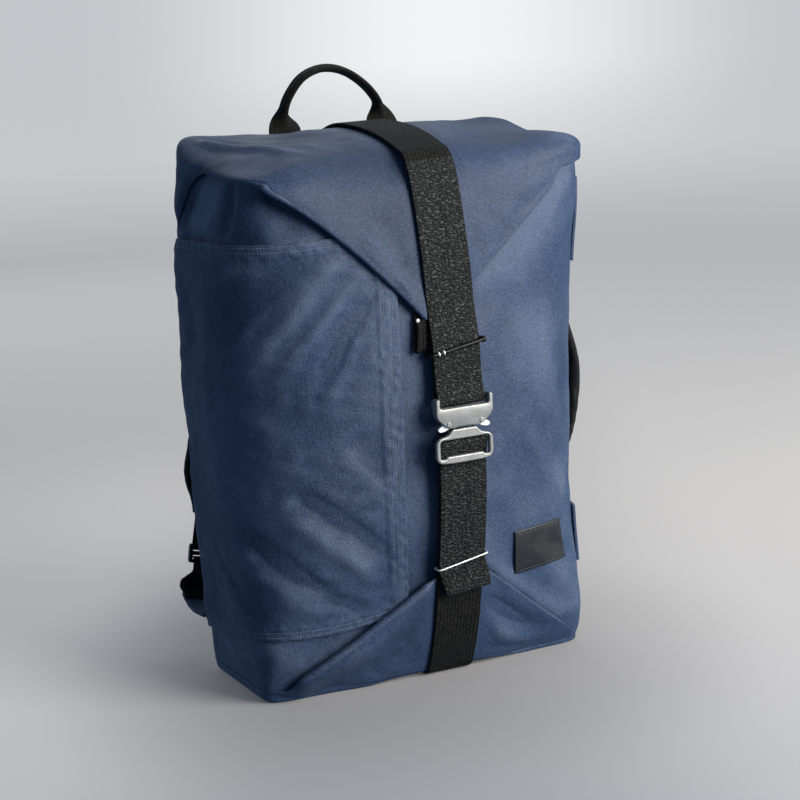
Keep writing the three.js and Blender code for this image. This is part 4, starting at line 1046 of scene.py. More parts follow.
def build_pocket():
    start, end = POCKET["hem_angle"], POCKET["back_angle"]
    angles, _ = even_angles(start, end, 240.0, 150)
    z = lerp(seam_z(angles, "high"), seam_z(angles, "low"), np.linspace(0, 1, 180)[:, None])
    points, wear_and_painted_shading = pocket_surface(np.broadcast_to(angles, z.shape), z)
    panel_piece("canvas_pocket", points, POCKET_WALL, CANVAS_BLUE, "canvas", "side_pocket", wear_and_painted_shading)
    lines, around = [], np.linspace(start + 3, end - 1, 220)
    for row in SEAM_ROWS:
        lines += [(around, seam_z(around, "high") - row), (around, seam_z(around, "low") + row)]
    for row in HEM_ROWS:
        lines.append((np.full(200, start + row / DEGREE / POCKET["radius"]), np.linspace(396, 82, 200)))
    runs = [(pocket_surface(*line)[0], sack_normal(*line)) for line in lines]
    stitches("pocket_stitches", runs, BLUE_THREAD, "canvas")


def patch_place(corners, s, t):
    """Angle and height on the sack at shares across and along a patch with four corners."""
    a, b, c, d = np.array(corners, float)
    place = lerp(lerp(a, b, s[..., None]), lerp(d, c, s[..., None]), t[..., None])
    return place[..., 0], place[..., 1]


def border_runs(corners, a, b, out):
    """Stitch runs inside the four edges of a patch, set in by shares of its sides."""
    line, runs = np.linspace(0, 1, 40), []
    for s, t in ((lerp(a, 1 - a, line), b), (1 - a, lerp(b, 1 - b, line)), (lerp(1 - a, a, line), 1 - b),
                 (a, lerp(1 - b, b, line))):
        place = patch_place(corners, s + 0 * line, t + 0 * line)
        runs.append((off_sack(*place, out), sack_normal(*place)))
    return runs


LABEL_CORNERS = ((-36.5, 127), (-55.5, 128.5), (-58.5, 89.5), (-40, 85.5))
LABEL_WIDE, LABEL_HIGH = 56, 40
LABEL_INSET = 2.6


def build_label():
    """A bare patch whose corners are places on the sack."""
    u, v = np.meshgrid(np.linspace(0, 1, 40), np.linspace(0, 1, 28))
    edge = np.minimum(np.minimum(u, 1 - u) * LABEL_WIDE, np.minimum(v, 1 - v) * LABEL_HIGH)
    out = GAP + 1.5 + 0.5 * smooth(edge, 0, 2.5) - 0.35 * bell(edge - LABEL_INSET, 0.8)
    points = off_sack(*patch_place(LABEL_CORNERS, u, v), out)
    panel_piece("label", points, 1.6, PATCH, "patch", "label_patch", round_edge=0.6)
    runs = border_runs(LABEL_CORNERS, LABEL_INSET / LABEL_WIDE, LABEL_INSET / LABEL_HIGH, GAP + 1.75)
    stitches("label_stitches", runs, BLACK_THREAD, "patch", gap=1.0, radius=0.34)


HANDLE_ANGLE = -93.0
ANCHOR_FROM, ANCHOR_TO = -101.0, -71.0
ANCHOR_INSET = 3.4


def build_side_anchor(name, node, low, high, handle_z):
    """A patch over one end of the side handle."""
    corners = ((ANCHOR_FROM, low), (ANCHOR_TO, low), (ANCHOR_TO, high), (ANCHOR_FROM, high))
    angle, z = np.meshgrid(np.linspace(ANCHOR_FROM, ANCHOR_TO, 56), np.linspace(high, low, 44))
    edge = np.minimum(np.minimum(angle - ANCHOR_FROM, ANCHOR_TO - angle) * 2.9, np.minimum(high - z, z - low))
    handle = (1 - smooth(np.abs(angle - HANDLE_ANGLE), 3.6, 7.2)) * (1 - smooth(np.abs(z - handle_z), 9, 20))
    out = GAP + 3.0 + 4.6 * handle + 0.5 * smooth(edge, 1, 6) - 0.4 * bell(edge - ANCHOR_INSET, 0.9)
    panel_piece(name, off_sack(angle, z, out), 3.0, CANVAS_BLUE, "canvas", node, round_edge=0.9)
    inset = 1.15 / (ANCHOR_TO - ANCHOR_FROM)
    runs = border_runs(corners, inset, ANCHOR_INSET / (high - low), GAP + 3.05)
    stitches(name + "_stitches", runs, BLUE_THREAD, "canvas", length=2.4, gap=1.0, radius=0.34)


# Webbing

STRAP_TAIL = (
    (180, 0, 0), (145, 0, 0), (112, 0, 0), (106, 0.3, 0.8), (99, 1.2, 3.0), (92, 2.6, 4.8), (85, 4.0, 5.4),
)


def hood_line(angle, sides=()):
    """The hood's outer line at one angle, from near the middle of its top down its side."""
    angles = np.array([float(angle)])
    turns = np.array([0.35, 0.7]) * QUARTER
    return hood_profile(angles, (0.35, 0.7, 1), turns, sides, lambda z: stand_off(angles))[:, 0]


def front_ribbon(name, path, material, node=None, thick=STRAP_THICK):
    ribbon(name, path, X_AXIS, STRAP_WIDTH, thick, material, "webbing", node, wide_points=15)


def build_upper_strap():
    """The strap over the top, down to the buckle's socket, round its bar and back up."""
    ridge = np.concatenate([hood_line(180)[::-1], hood_line(0, (0.02, 0.16, 0.32, 0.48, 0.66))])
    out = unit(np.cross(np.gradient(ridge, axis=0), X_AXIS))
    over = ridge + out * (1.6 * GAP + 0.6 + STRAP_THICK / 2)
    over[:, 0] = strap_x(over[:, 2])
    bar_z = BUCKLE_Z + SOCKET_BAR_Y
    down = [(338, STRAP_INNER), (322, 10.8), (310, STRAP_OUTER), (286, STRAP_OUTER)]
    down += [(bar_z + 14, STRAP_OUTER + 0.5), (bar_z + 7, STRAP_OUTER + 2)]
    up = [strap_stop(z, STRAP_INNER) for z in (bar_z + 8, 282, 300, 312)]
    whole = resample([*over, *(strap_stop(*stop) for stop in down), *turn_round(bar_z, -1), *up], 2.0)
    bend = int(np.argmax((whole[:, 1] < 0) & (whole[:, 2] < STRAP_BEND_Z)))
    front_ribbon("strap_top", whole[: bend + 1], TWILL)
    front_ribbon("strap_upper", whole[bend:], CREPE, "front_strap_upper")


def build_lower_strap():
    """The strap from under the base, up to the buckle's tongue, round its bar and down to a loose tail."""
    sides = (0.01, 0.25, 0.5, 0.75, 1)
    rise = base_profile(np.zeros(1), (), (0.4, 0.75), sides, lambda z: FOLD_STAND_OFF)[:, 0]
    rise = rise + unit(np.cross(X_AXIS, np.gradient(rise, axis=0))) * (GAP + STRAP_THICK / 2)
    start = np.array([(0.0, y, STRAP_THICK / 2) for y in (34, 10, -20, -44)] + list(rise[:-1]))
    start[:, 0] = strap_x(start[:, 2])
    start[:, 2] = np.maximum(start[:, 2], STRAP_THICK / 2)
    bar_z = BUCKLE_Z + TONGUE_BAR_Y
    inner = [strap_stop(z, STRAP_INNER) for z in (106, 130, 160, 190, bar_z - 8)]
    tail = ((bar_z - 7, 1.6, 0), (bar_z - 14, 0, 0)) + STRAP_TAIL
    tail = [strap_stop(z, STRAP_OUTER + out) + X_AXIS * swing for z, out, swing in tail]
    whole = resample([*start, *inner, *turn_round(bar_z, 1)[::-1], *tail], 2.0)
    half = int(np.argmax(whole[:, 2]))
    front_ribbon("strap_lower", whole[: half + 1], TWILL, "front_strap_lower")
    from_end = np.linalg.norm(whole[half:] - whole[-1], axis=1)
    front_ribbon("strap_tail", whole[half:], CREPE, thick=STRAP_THICK + 1.5 * (1 - smooth(from_end, 9, 12)))


TOP_HANDLE = table(
    "x z",
    (-50, 453), (-50, 475), (-50.4, 488), (-48.6, 498), (-43.4, 508.5), (-31.5, 522), (-17, 528.6),
    (-2, 529.6), (13.5, 525.2), (28, 515.5), (37, 506.5), (43, 497.5), (46, 487), (46.4, 474), (46, 453),
)
HANDLE_Y = 73.4
HANDLE_FEET = (-50.0, 46.0)
HANDLE_BOX = ((-12.5, 456.5), (12.5, 456.5), (-12.5, 466.0), (12.5, 466.0))
HANDLE_CORE = 3


def build_top_handle():
    """Webbing that lies flat at its ends and is folded lengthwise along the grip."""
    stops = np.stack([TOP_HANDLE["x"], np.full(len(TOP_HANDLE["x"]), HANDLE_Y), TOP_HANDLE["z"]], -1)
    path = resample(stops, 2.0)
    along, side, _ = frame_along(path, Y_AXIS)
    inplane = np.cross(side, along)
    shut = smooth(path[:, 2], 474, 499)[:, None]
    fold = shut * 82 * DEGREE
    s = np.linspace(-1, 1, 25) * lerp(15.5, 11.0, shut)
    core, wing = np.minimum(np.abs(s), HANDLE_CORE), np.maximum(np.abs(s) - HANDLE_CORE, 0)
    across = np.sign(s) * (core * np.cos(fold * 0.66) + wing * np.cos(fold))
    deep = core * np.sin(fold * 0.66) + wing * np.sin(fold) - shut * 5.0
    points = path[:, None] + inplane[:, None] * across[..., None] + Y_AXIS * deep[..., None]
    quads = grid_faces(*s.shape, False)
    uv = np.stack([s, np.broadcast_to(reach_along(path)[:, None], s.shape)], -1).reshape(-1, 2)
    piece = add_piece("handle_webbing", points.reshape(-1, 3), quads.tolist(), TWILL, "webbing", "top_handle",
                      uv=uv[quads].reshape(-1, 2) * MM)
    give_wall(piece, 1.8, 0, 0.6)
    runs = []
    for x in HANDLE_FEET:
        corners = [(x + dx, HANDLE_Y + 1.05, z) for dx, z in HANDLE_BOX]
        for a, b in ((0, 1), (2, 3), (0, 2), (1, 3)):
            runs.append((np.linspace(corners[a], corners[b], 20), np.tile(Y_AXIS, (20, 1))))
    stitches("handle_stitches", runs, BLACK_THREAD, "webbing", length=2.2, gap=0.9, radius=0.32)


STRAP_SLANT = 0.22
ADJUSTER = {"x": 140.5, "y": 102.6, "z": 94.5, "pitch": 80.0}
SHOULDER_STRAP = table(
    "x y z width thick",
    (-46, 73.5, 438, 56, 7), (-47, 78, 416, 58, 9), (-50, 92, 376, 60, 11), (-60, 103, 322, 60, 11),
    (-80, 111, 266, 58, 11), (-102, 115, 212, 52, 11), (-122, 114, 184, 57, 11), (-132, 113, 168, 61, 10),
    (-131, 110, 150, 38, 9), (-134, 107, 124, 29, 6),
)
STRAP_NECK = ((24, -1.6), (15, -2.6), (9, -3.1), (6.2, -3.1), (4.4, -2.4), (3.7, -1), (3.7, 1.2))
WEBBING_HEAD = ((-3.7, -1.2), (-3.7, 1), (-4.4, 2.4), (-6.2, 3.1), (-9, 3.1), (-16, 2.4))
LOWER_WEBBING = (
    (-148, 107.5, 71), (-151, 111.5, 66), (-152.5, 110, 62.6), (-153.4, 102.5, 60.4), (-153.8, 95, 57),
)
ANCHOR_TAB = table(
    "x y z width",
    (-153.5, 105, 57.4, 24), (-154, 95, 53.4, 25), (-153, 84, 50, 28), (-150, 74, 48, 33),
    (-147, 67.6, 47, 37),
)
PAD_SHARE = 0.86


def adjuster_matrix(side):
    lean = Matrix.Rotation(-side * math.atan(STRAP_SLANT), 4, "Y")
    pitch = Matrix.Rotation(ADJUSTER["pitch"] * DEGREE, 4, "X")
    return Matrix.Translation((side * ADJUSTER["x"], ADJUSTER["y"], ADJUSTER["z"])) @ lean @ pitch


def at_adjuster(side, rows):
    """Points given by how far up and inward of the adjuster's middle they are."""
    return [np.array(adjuster_matrix(side) @ Vector((0, up, inward))) for up, inward in rows]


def build_shoulder(side, word):
    """A shoulder strap: its pad and bindings, the webbing at its adjuster and the tab that holds it."""
    flip = np.array([-side, 1, 1])
    slant = unit(np.array([1, 0, side * STRAP_SLANT]))
    path = resample(np.stack([SHOULDER_STRAP[k] for k in "xyz"], -1) * flip, 4.0)
    width, thick = (spread_along(SHOULDER_STRAP, name, len(path)) for name in ("width", "thick"))
    thick = thick * PAD_SHARE
    pad = pad_piece("shoulder_pad_" + word, path, slant, width, thick, 3.0, "shoulder_strap_" + word)
    along, across, out = frame_along(path, slant)
    bpy.context.view_layer.update()
    runs = [sewn_line(pad, (path + across * (edge * (width / 2 - 8))[:, None])[3:-4]) for edge in (-1, 1)]
    box = [path[1] + across[1] * sx * 20 + along[1] * sy for sx, sy in ((-1, 3), (1, 3), (1, 26), (-1, 26))]
    for a, b in ((0, 1), (1, 2), (2, 3), (3, 0), (0, 2), (1, 3)):
        runs.append(sewn_line(pad, np.linspace(box[a], box[b], 14)))
    stitches("pad_stitches_" + word, runs, BLACK_THREAD, "padding", length=2.6, gap=1.2, radius=0.36)
    binding = 7.6 - 2.4 * smooth(np.linspace(0, 1, len(path)), 0.86, 1)
    for edge in (-1, 1):
        line = path + across * (edge * (width / 2 - 1.9))[:, None]
        name = f"pad_binding_{word}_{'inner' if edge * side < 0 else 'outer'}"
        ribbon(name, line[2:-2], out[2:-2], binding[2:-2], 3.4, TWILL, "padding", wide_points=5)
    neck = [path[-9], path[-5]] + at_adjuster(side, STRAP_NECK)
    ribbon("pad_webbing_" + word, resample(neck, 1.5), slant, 25, 1.8, TWILL, "webbing")
    head = at_adjuster(side, WEBBING_HEAD) + list(np.array(LOWER_WEBBING) * flip)
    ribbon("webbing_" + word, resample(head, 1.5), slant, 25, 1.9, TWILL, "webbing", "lower_webbing_" + word)
    path = resample(np.stack([ANCHOR_TAB[k] for k in "xyz"], -1) * flip, 2.0)
    width = spread_along(ANCHOR_TAB, "width", len(path))
    ribbon("anchor_tab_" + word, path, slant, width, 2.9, CANVAS_BLUE, "canvas", "strap_anchor_" + word)
    _, across, out = frame_along(path, slant)
    lines = [path + across * (edge * (width / 2 - 3))[:, None] for edge in (-1, 1)]
    runs = [(line + out * 1.45 * face, out * face) for line in lines for face in (-1, 1)]
    stitches("anchor_stitches_" + word, runs, BLUE_THREAD, "canvas", length=2.4, gap=1.0, radius=0.33)


def pad_piece(name, path, across, width, thick, cap, node):
    """A padded strip: crowned faces that fall to thin edges, blown up a little as cloth."""
    _, side, out = frame_along(path, across)
    s, step = np.linspace(-1, 1, 15), np.arange(len(path))
    crown = 0.5 + 0.5 * (1 - np.abs(s) ** 2.6) ** 0.8
    taper = 0.65 + 0.35 * smooth(np.minimum(step, step[::-1]), 0, 4)
    lift = out[:, None] * (crown * (thick * taper)[:, None] / 2)[..., None]
    middle = path[:, None] + side[:, None] * (s * width[:, None] / 2)[..., None]
    ring = np.concatenate([middle + lift, (middle - lift)[:, ::-1]], 1)
    mesh = new_mesh(name, ring.reshape(-1, 3), tube_faces(*ring.shape[:2]))
    mesh = swollen(mesh, cap)
    piece = add_mesh(name, mesh, PADDING, node)
    finer = piece.modifiers.new("finer", "SUBSURF")
    finer.levels = finer.render_levels = 1
    return piece


SWELL_FRAMES = 20
SWELL_VOXEL = 0.003
SWELL_PRESSURE = 4.0


def swollen(mesh, cap):
    """The mesh in even cells, after pressure inside has pushed its cloth out by no more than a cap."""
    scene = bpy.context.scene
    maker = new_object("swell", mesh)
    cells = maker.modifiers.new("cells", "REMESH")
    cells.mode, cells.voxel_size = "VOXEL", SWELL_VOXEL
    even = evaluated_mesh(maker)
    maker.modifiers.clear()
    maker.data = even
    cloth = maker.modifiers.new("cloth", "CLOTH")
    cloth.settings.use_pressure, cloth.settings.uniform_pressure_force = True, SWELL_PRESSURE
    cloth.settings.effector_weights.gravity = 0
    cloth.point_cache.frame_start, cloth.point_cache.frame_end = 1, SWELL_FRAMES
    for number in range(1, SWELL_FRAMES + 1):
        scene.frame_set(number)
    blown = evaluated_mesh(maker)
    before, after = mesh_parts(even)[0], mesh_parts(blown)[0]
    far = np.linalg.norm(after - before, axis=1, keepdims=True)
    moved = before + (after - before) * np.minimum(1, cap * MM / np.maximum(far, 1e-9))
    even.vertices.foreach_set("co", moved.ravel())
    bpy.data.objects.remove(maker)
    for used in (blown, mesh):
        bpy.data.meshes.remove(used)
    scene.frame_set(1)
    return even


def sewn_line(piece, points):
    """Where a line of points behind a piece falls on it, straight from the back, with its normals."""
    hits = [piece.ray_cast(Vector(point * MM + Y_AXIS * 0.05), Vector(-Y_AXIS)) for point in points]
    rows = [(np.array(at) / MM, np.array(normal)) for hit, at, normal, _ in hits if hit]
    return np.array([at for at, _ in rows]), np.array([normal for _, normal in rows])


SIDE_HANDLE = table(
    "z out thick",
    (120, 2.6, 3.6), (132, 4.5, 5), (152, 13, 7), (180, 26, 8), (214, 33, 8.6), (248, 33, 8.6), (285, 21, 8),
    (318, 10, 7), (346, 4.5, 5), (360, 2.6, 3.6),
)


def build_side_handle():
    z = SIDE_HANDLE["z"]
    path = resample(off_sack(np.full(len(z), HANDLE_ANGLE), z, SIDE_HANDLE["out"]), 3.0)
    thick = spread_along(SIDE_HANDLE, "thick", len(path)) * PAD_SHARE
    pad = pad_piece("side_grip", path, Y_AXIS, np.full(len(path), 23.0), thick, 2.5, "side_handle")


# Metal


def rounded(corners, radius, steps=5):
    """An outline with its corners rounded."""
    corners = np.asarray(corners, float)
    radius = np.broadcast_to(radius, len(corners))
    made = []
    for i, here in enumerate(corners):
        before, after = corners[i - 1] - here, corners[(i + 1) % len(corners)] - here
        a, b = np.linalg.norm(before), np.linalg.norm(after)
        cut_back = min(radius[i], 0.49 * a, 0.49 * b)
        start, end = here + before / a * cut_back, here + after / b * cut_back
        for t in np.linspace(0, 1, steps):
            made.append((1 - t) ** 2 * start + 2 * t * (1 - t) * here + t**2 * end)
    return np.array(made)


def rounded_rows(rows):
    """A rounded outline from rows of x, y and the radius there."""
    return rounded(rows[:, :2], rows[:, 2])


def mirrored(*half):
    """The rows of a whole outline from those of its right half, in order round it."""
    half = np.array(half, float)
    other = half[::-1].copy()
    other[:, 0] *= -1
    return np.concatenate([half, other])


def box_outline(left, bottom, width, height):
    return [(left, bottom), (left + width, bottom), (left + width, bottom + height), (left, bottom + height)]


def disc_outline(x, y, radius, steps=24):
    t = np.arange(steps) / steps * 2 * math.pi
    return np.stack([x + radius * np.cos(t), y + radius * np.sin(t)], -1)


def plate_mesh(outlines, low, high, bevel):
    """A plate cut to outlines, the first one outside and the rest holes, with rounded edges."""
    curve = bpy.data.curves.new("plate", "CURVE")
    curve.dimensions, curve.fill_mode = "2D", "BOTH"
    for points in outlines:
        spline = curve.splines.new("POLY")
        spline.points.add(len(points) - 1)
        spline.points.foreach_set("co", np.c_[points, np.zeros(len(points)), np.ones(len(points))].ravel())
        spline.use_cyclic_u = True
    curve.extrude = (high - low) / 2 - bevel
    curve.bevel_depth, curve.bevel_resolution, curve.offset = bevel, 2, -bevel
    maker = new_object("plate", curve)
    mesh = evaluated_mesh(maker)
    bpy.data.objects.remove(maker)
    bpy.data.curves.remove(curve)
    mesh.transform(Matrix.Translation((0, 0, (low + high) / 2)))
    return mesh


def taken_parts(mesh):
    """A mesh's points and faces, with the mesh itself removed."""
    parts = mesh_parts(mesh)
    bpy.data.meshes.remove(mesh)
    return parts


def plate(*shape):
    return taken_parts(plate_mesh(*shape))


def cut(mesh, tool_mesh):
    """Points and faces of one mesh less another."""
    piece, tool = new_object("cut", mesh), new_object("tool", tool_mesh)
    modifier = piece.modifiers.new("cut", "BOOLEAN")
    modifier.operation, modifier.object, modifier.solver = "DIFFERENCE", tool, "EXACT"
    result = evaluated_mesh(piece)
    for made in (piece, tool):
        bpy.data.objects.remove(made)
    return taken_parts(result)


def placed(parts, matrix):
    """Parts joined and moved by a matrix."""
    points, faces = joined(parts)
    m = np.array(matrix)
    return points @ m[:3, :3].T + m[:3, 3], faces


def bead(middle, way, length, radius):
    """A short round bead on a wire."""
    at = np.linspace(-1, 1, 9)
    path = np.array(middle, float) + np.asarray(way) * (at * length / 2)[:, None]
    return tube(path, radius * np.maximum(1 - np.abs(at) ** 3, 0.1) ** 0.5, sides=16)


BUCKLE_X = float(strap_x(BUCKLE_Z))
BUCKLE = Matrix.Translation((BUCKLE_X, float(front_y(BUCKLE_X, BUCKLE_Z, 0)), BUCKLE_Z))
BUCKLE = BUCKLE @ Matrix.Rotation(QUARTER, 4, "X")
SOCKET_BACK = STRAP_INNER + 3.7
SOCKET_FRONT = SOCKET_BACK + 8
CAVITY = (SOCKET_BACK + 2.2, SOCKET_BACK + 6)
BLADE = (SOCKET_BACK + 2.6, SOCKET_BACK + 5.6)
TONGUE_FRAME = (SOCKET_BACK + 2, SOCKET_BACK + 6.4)
PIN = {"x": 15.7, "y": -2.6, "radius": 1.5, "head": 2.1, "hole": 1.85}
SLOT_HALF = 23.6
SOCKET_HALF = 27
LEVER = np.array([
    (12.7, -5.2, 1), (12.2, 0, 1), (11.6, 3.1, 0.6), (8.9, 2.6, 0.4), (8.9, 4.2, 0.4), (10.6, 4.9, 0.8),
    (14.4, 5.4, 1), (17.6, 0.4, 2), (19.4, -2.4, 2), (24.6, -6.2, 1.2), (24.9, -8, 1.2), (22.5, -9.3, 1.6),
    (16.2, -8.2, 2),
])


def metal_piece(name, parts, material, slot, node, body="bag"):
    piece = add_piece(name, *placed(parts, BUCKLE), material, slot, node, body)
    piece.modifiers.new("smooth_by_angle", "EDGE_SPLIT").split_angle = 38 * DEGREE


def bar_part(half_length, y):
    return tube(np.array([[x, y, BAR_OUT] for x in np.linspace(-half_length, half_length, 6)]), BAR_HALF)


def pin_disc(side, size):
    return disc_outline(side * PIN["x"], PIN["y"], PIN[size])


def build_buckle():
    """The socket with its pins, the tongue with its frame, and the two levers between them."""
    s = SLOT_HALF
    body = rounded_rows(mirrored(
        (6, -5.6, 4), (13, -6.6, 3), (17.5, -5.2, 4), (24.5, 1, 5), (SOCKET_HALF, 5, 5),
        (SOCKET_HALF, 18.6, 2), (25.4, 19.8, 1.5), (s, 19.4, 1), (s, 12.4, 1.5), (21.8, 10.9, 1.5)))
    hollow = mirrored((30, -12), (30, 1.2), (19, 1.2), (19, 5.5), (17.5, 8.3))
    shell = plate_mesh([body], SOCKET_BACK, SOCKET_FRONT, 0.8)
    parts = [cut(shell, plate_mesh([hollow], *CAVITY, 0.01)), bar_part(s + 1, SOCKET_BAR_Y)]
    for side in (-1, 1):
        ear = box_outline(s if side > 0 else -SOCKET_HALF, SOCKET_BAR_Y - 2.4, SOCKET_HALF - s, 4.8)
        parts.append(plate([rounded(ear, 1.0)], BAR_OUT - BAR_HALF, SOCKET_BACK + 1, 0.4))
        parts.append(plate([pin_disc(side, "radius")], SOCKET_BACK + 0.5, SOCKET_FRONT - 0.5, 0.05))
        parts.append(plate([pin_disc(side, "head")], SOCKET_FRONT - 0.6, SOCKET_FRONT + 0.7, 0.5))
    metal_piece("buckle_body", parts, ALLOY, "alloy", "buckle_socket")

    ring = rounded_rows(mirrored(
        (14, -37.4, 5), (24.5, -36.4, 4), (27.3, -32.5, 4), (27.3, -18, 4), (23.5, -14.4, 4),
        (16.5, -13.4, 3), (11.2, -8, 1)))
    window = rounded_rows(mirrored(
        (22, -16.6, 1.5), (s, -18.2, 1.5), (s, -33, 2.2), (19, -33, 1.2), (17, -31, 1.2)))
    blade = rounded(mirrored((9, 7.9), (10.4, 5.9), (8, 5.9), (8, -5), (11.2, -9)), 0.5)
    parts = [plate([ring, window], *TONGUE_FRAME, 1.1), plate([blade], *BLADE, 0.4)]
    parts.append(bar_part(s + 1.2, TONGUE_BAR_Y))
    for side in (-1, 1):
        post = rounded(box_outline(s - 0.4 if side > 0 else -s - 1.6, TONGUE_BAR_Y - 2, 2, 4), 0.6)
        parts.append(plate([post], BAR_OUT - BAR_HALF, TONGUE_FRAME[0] + 0.8, 0.3))
    metal_piece("buckle_frame", parts, ALLOY, "alloy", "buckle_tongue")

    for side, word in ((-1, "left"), (1, "right")):
        lever = plate([rounded_rows(LEVER * (side, 1, 1)), pin_disc(side, "hole")], *BLADE, 0.45)
        metal_piece("lever_" + word, [lever], STEEL, "steel", "release_lever_" + word, "lever_" + word)


def build_keeper(name, node, z, wire, material, slot, trimmed=False):
    """A wire loop round the doubled strap, which may have a bead at one end and two bright bands."""
    width, depth = STRAP_WIDTH + 3, STRAP_OUTER - STRAP_INNER + STRAP_THICK + 2.8
    line = rounded(box_outline(-(width + wire) / 2, -wire / 2, width + wire, depth + wire), 2.2)
    path = resample(np.c_[line, np.zeros(len(line))], 1.0, closed=True)[:-1]
    place = strap_stop(z, STRAP_OUTER + STRAP_THICK / 2 + 1.4)
    matrix = Matrix.Translation(place) @ Matrix.Rotation(-KEEPER_TILT * DEGREE, 4, "Y")
    parts = [tube(path, wire / 2, closed=True)]
    if trimmed:
        parts.append(bead((width / 2 + 0.8, -0.6, 0), X_AXIS, 5.2, 2.9))
        bands = [bead((x, -wire / 2, 0), X_AXIS, 2.2, wire / 2 + 0.4) for x in (-19.0, -14.2)]
        add_piece(name + "_bands", *placed(bands, matrix), STEEL, "steel")
    add_piece(name, *placed(parts, matrix), material, slot, node)


def build_adjuster(side, word):
    line = rounded(box_outline(-16.5, -9, 33, 18), 3)
    holes = [rounded(box_outline(-13, y, 26, 3.6), 1.0) for y in (-5.5, 1.9)]
    points, faces = placed([plate([line, *holes], -1.75, 1.75, 0.7)], adjuster_matrix(side))
    add_piece("adjuster_" + word, points, faces, GLOSS_BLACK, "black_metal", "strap_adjuster_" + word)


FLAP_TAB = table(
    "x out z",
    (-18.6, 3.8, 337), (-20, 3.8, 322), (-21, 3.8, 310), (-21.2, 4.4, 305.6), (-20.8, 5.5, 303.8),
    (-20.2, 6.6, 305.6), (-19.6, 7, 310), (-19, 7, 319), (-18.6, 6.9, 331),
)
TAB_RIVET = {"x": -23.2, "z": 330.4, "out": 7.8}


def build_flap_tab():
    x, z = FLAP_TAB["x"], FLAP_TAB["z"]
    path = resample(np.stack([x, front_y(x, z, FLAP_TAB["out"]), z], -1), 0.8)
    ribbon("tip_tab", path, X_AXIS, 11, 1.7, TWILL, "webbing", "flap_tab")
    x, z = TAB_RIVET["x"], TAB_RIVET["z"]
    y = float(front_y(x, z, TAB_RIVET["out"]))
    add_piece("tab_rivet", *bead((x, y, z), Y_AXIS, 1.8, 1.7), STEEL, "steel")


build_sack()
build_hood()
build_base()
build_pocket()
build_label()
build_side_anchor("side_patch_top", "side_handle_anchor_top", 353, 428, 353)
build_side_anchor("side_patch_bottom", "side_handle_anchor_bottom", 74, 127, 127)
build_upper_strap()
build_lower_strap()
build_top_handle()
for shoulder_side, shoulder_word in ((-1, "left"), (1, "right")):
    build_shoulder(shoulder_side, shoulder_word)
    build_adjuster(shoulder_side, shoulder_word)
build_side_handle()
build_buckle()
build_keeper(
    "keeper_upper", "strap_keeper_upper", KEEPER_UPPER_Z, 3.4, BLACK_METAL, "black_metal", trimmed=True)
build_keeper("keeper_lower", "strap_keeper_lower", KEEPER_LOWER_Z, 1.4, STEEL, "steel")
build_flap_tab()


# Camera, floor and light, in metres

CAMERA = {
    "azimuth": -26.5, "elevation": 12.64, "roll": -2.57, "distance": 1.988, "aim": (0.0127, -0.0057, 0.2374),
}


def build_camera():
    data = bpy.data.cameras.new("photo_camera")
    data.lens, data.sensor_width = 100, 36
    camera = new_object("photo_camera", data)
    az, el, roll = (CAMERA[k] * DEGREE for k in ("azimuth", "elevation", "roll"))
    ahead = Vector((-math.sin(az) * math.cos(el), math.cos(az) * math.cos(el), -math.sin(el)))
    right = Vector((math.cos(az), math.sin(az), 0))
    up = right.cross(ahead)
    turned_right = math.cos(roll) * right + math.sin(roll) * up
    turned_up = -math.sin(roll) * right + math.cos(roll) * up
    matrix = Matrix((turned_right, turned_up, -ahead)).transposed().to_4x4()
    matrix.translation = Vector(CAMERA["aim"]) - ahead * CAMERA["distance"]
    camera.matrix_world = matrix
    bpy.context.scene.camera = camera


VIEW_AHEAD, VIEW_RIGHT = (0.446, 0.895, 0.0), (0.895, -0.446, 0.0)
FLOOR_TURNS = 96
FLOOR_RINGS = (500, 1000, 2000, 4000, 8000, 16000, 40000)


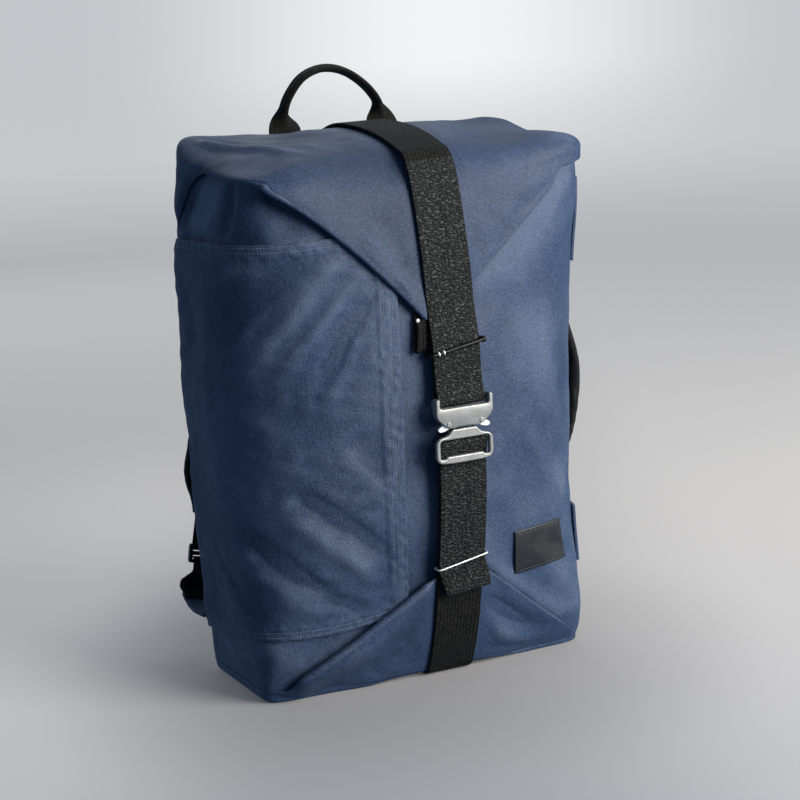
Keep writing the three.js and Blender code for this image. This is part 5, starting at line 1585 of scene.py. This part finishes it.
def paper_material():
    """Pale paper that glows as painted light, brighter far behind the bag and a little beside it, held dimmer
    close to the bag as a painted contact shadow, and darker towards the front as painted shade.
    """
    n = Nodes("studio_paper")
    ways = (VIEW_AHEAD, VIEW_RIGHT)
    ahead, across = (n.add("VectorMath", (n.place, way), "Value", operation="DOT_PRODUCT") for way in ways)
    away = n.add("VectorMath", (n.place,), "Value", operation="LENGTH")
    spread = across / n.math("MAXIMUM", ahead + 1.94, 0.5)
    beam = n.span(n.math("ABSOLUTE", spread - 0.03), 0.0, 0.17, 1.0, 0.0) * n.span(ahead, 2.0, 8.0)
    left = n.span(across, -0.32, -0.06, 0.17, 0.0) * n.span(ahead, 0.2, 1.0, 1.0, 0.0)
    right = n.span(across, 0.08, 0.36, 0.0, 0.1) * n.span(ahead, 0.6, 2.4, 1.0, 0.0)
    # Painted light beside and ahead of the bag, held dimmer close to it as a painted contact shadow.
    close = (left + right + n.span(ahead, -0.8, 0.6, 0.1, 0.13)) * n.span(away, 0.16, 0.38, 0.45, 1.0)
    glow = n.span(away, 0.4, 4.5) * 0.36 + beam * 0.34 + close
    # The paper's colour darkens towards the front as painted shade.
    paper = n.mix(n.span(ahead, -0.9, 0.7), (0.125, 0.135, 0.16), (0.30, 0.28, 0.262))
    return n.finish(
        Base_Color=paper, Roughness=0.85, Emission_Color=(1.0, 0.985, 0.965), Emission_Strength=glow)


def build_floor():
    turns = np.arange(FLOOR_TURNS) / FLOOR_TURNS * 2 * math.pi
    circle = np.stack([np.cos(turns), np.sin(turns), 0 * turns], -1)
    points = np.concatenate([np.zeros((1, 3))] + [radius * circle for radius in FLOOR_RINGS])
    faces = [[0, 1 + i, 1 + (i + 1) % FLOOR_TURNS] for i in range(FLOOR_TURNS)]
    faces += (grid_faces(len(FLOOR_RINGS), FLOOR_TURNS, True)[:, ::-1] + 1).tolist()
    mesh = new_mesh("studio_floor", points, faces)
    mesh.materials.append(paper_material())
    floor = new_object("studio_floor", mesh)
    floor.visible_diffuse = floor.visible_glossy = False


LIGHTS = (
    ("key", (1.05, -1.58, 0.95), (0.0, 0.0, 0.24), 1.5, 104.0, (1.0, 0.97, 0.92)),
    ("overhead", (0.9, 0.6, 2.2), (0.1, 0.0, 0.0), 1.7, 11.0, (1.0, 1.0, 1.0)),
    ("behind", (0.3, 2.0, 1.2), (0.0, 0.0, 0.24), 1.6, 9.0, (1.0, 1.0, 1.0)),
)


def build_lights():
    for name, at, aim, size, power, tint in LIGHTS:
        data = bpy.data.lights.new(name, "AREA")
        data.shape, data.size, data.energy, data.color = "DISK", size, power, tint
        light = new_object(name, data)
        light.location = at
        light.rotation_euler = (Vector(aim) - Vector(at)).to_track_quat("-Z", "Y").to_euler()
    world = bpy.data.worlds.new("studio")
    world.use_nodes = True
    background = world.node_tree.nodes["Background"]
    background.inputs["Color"].default_value = (0.56, 0.86, 1.3, 1.0)
    background.inputs["Strength"].default_value = 0.27
    bpy.context.scene.world = world
    bpy.context.scene.view_settings.view_transform = "Standard"


build_camera()
build_floor()
build_lights()
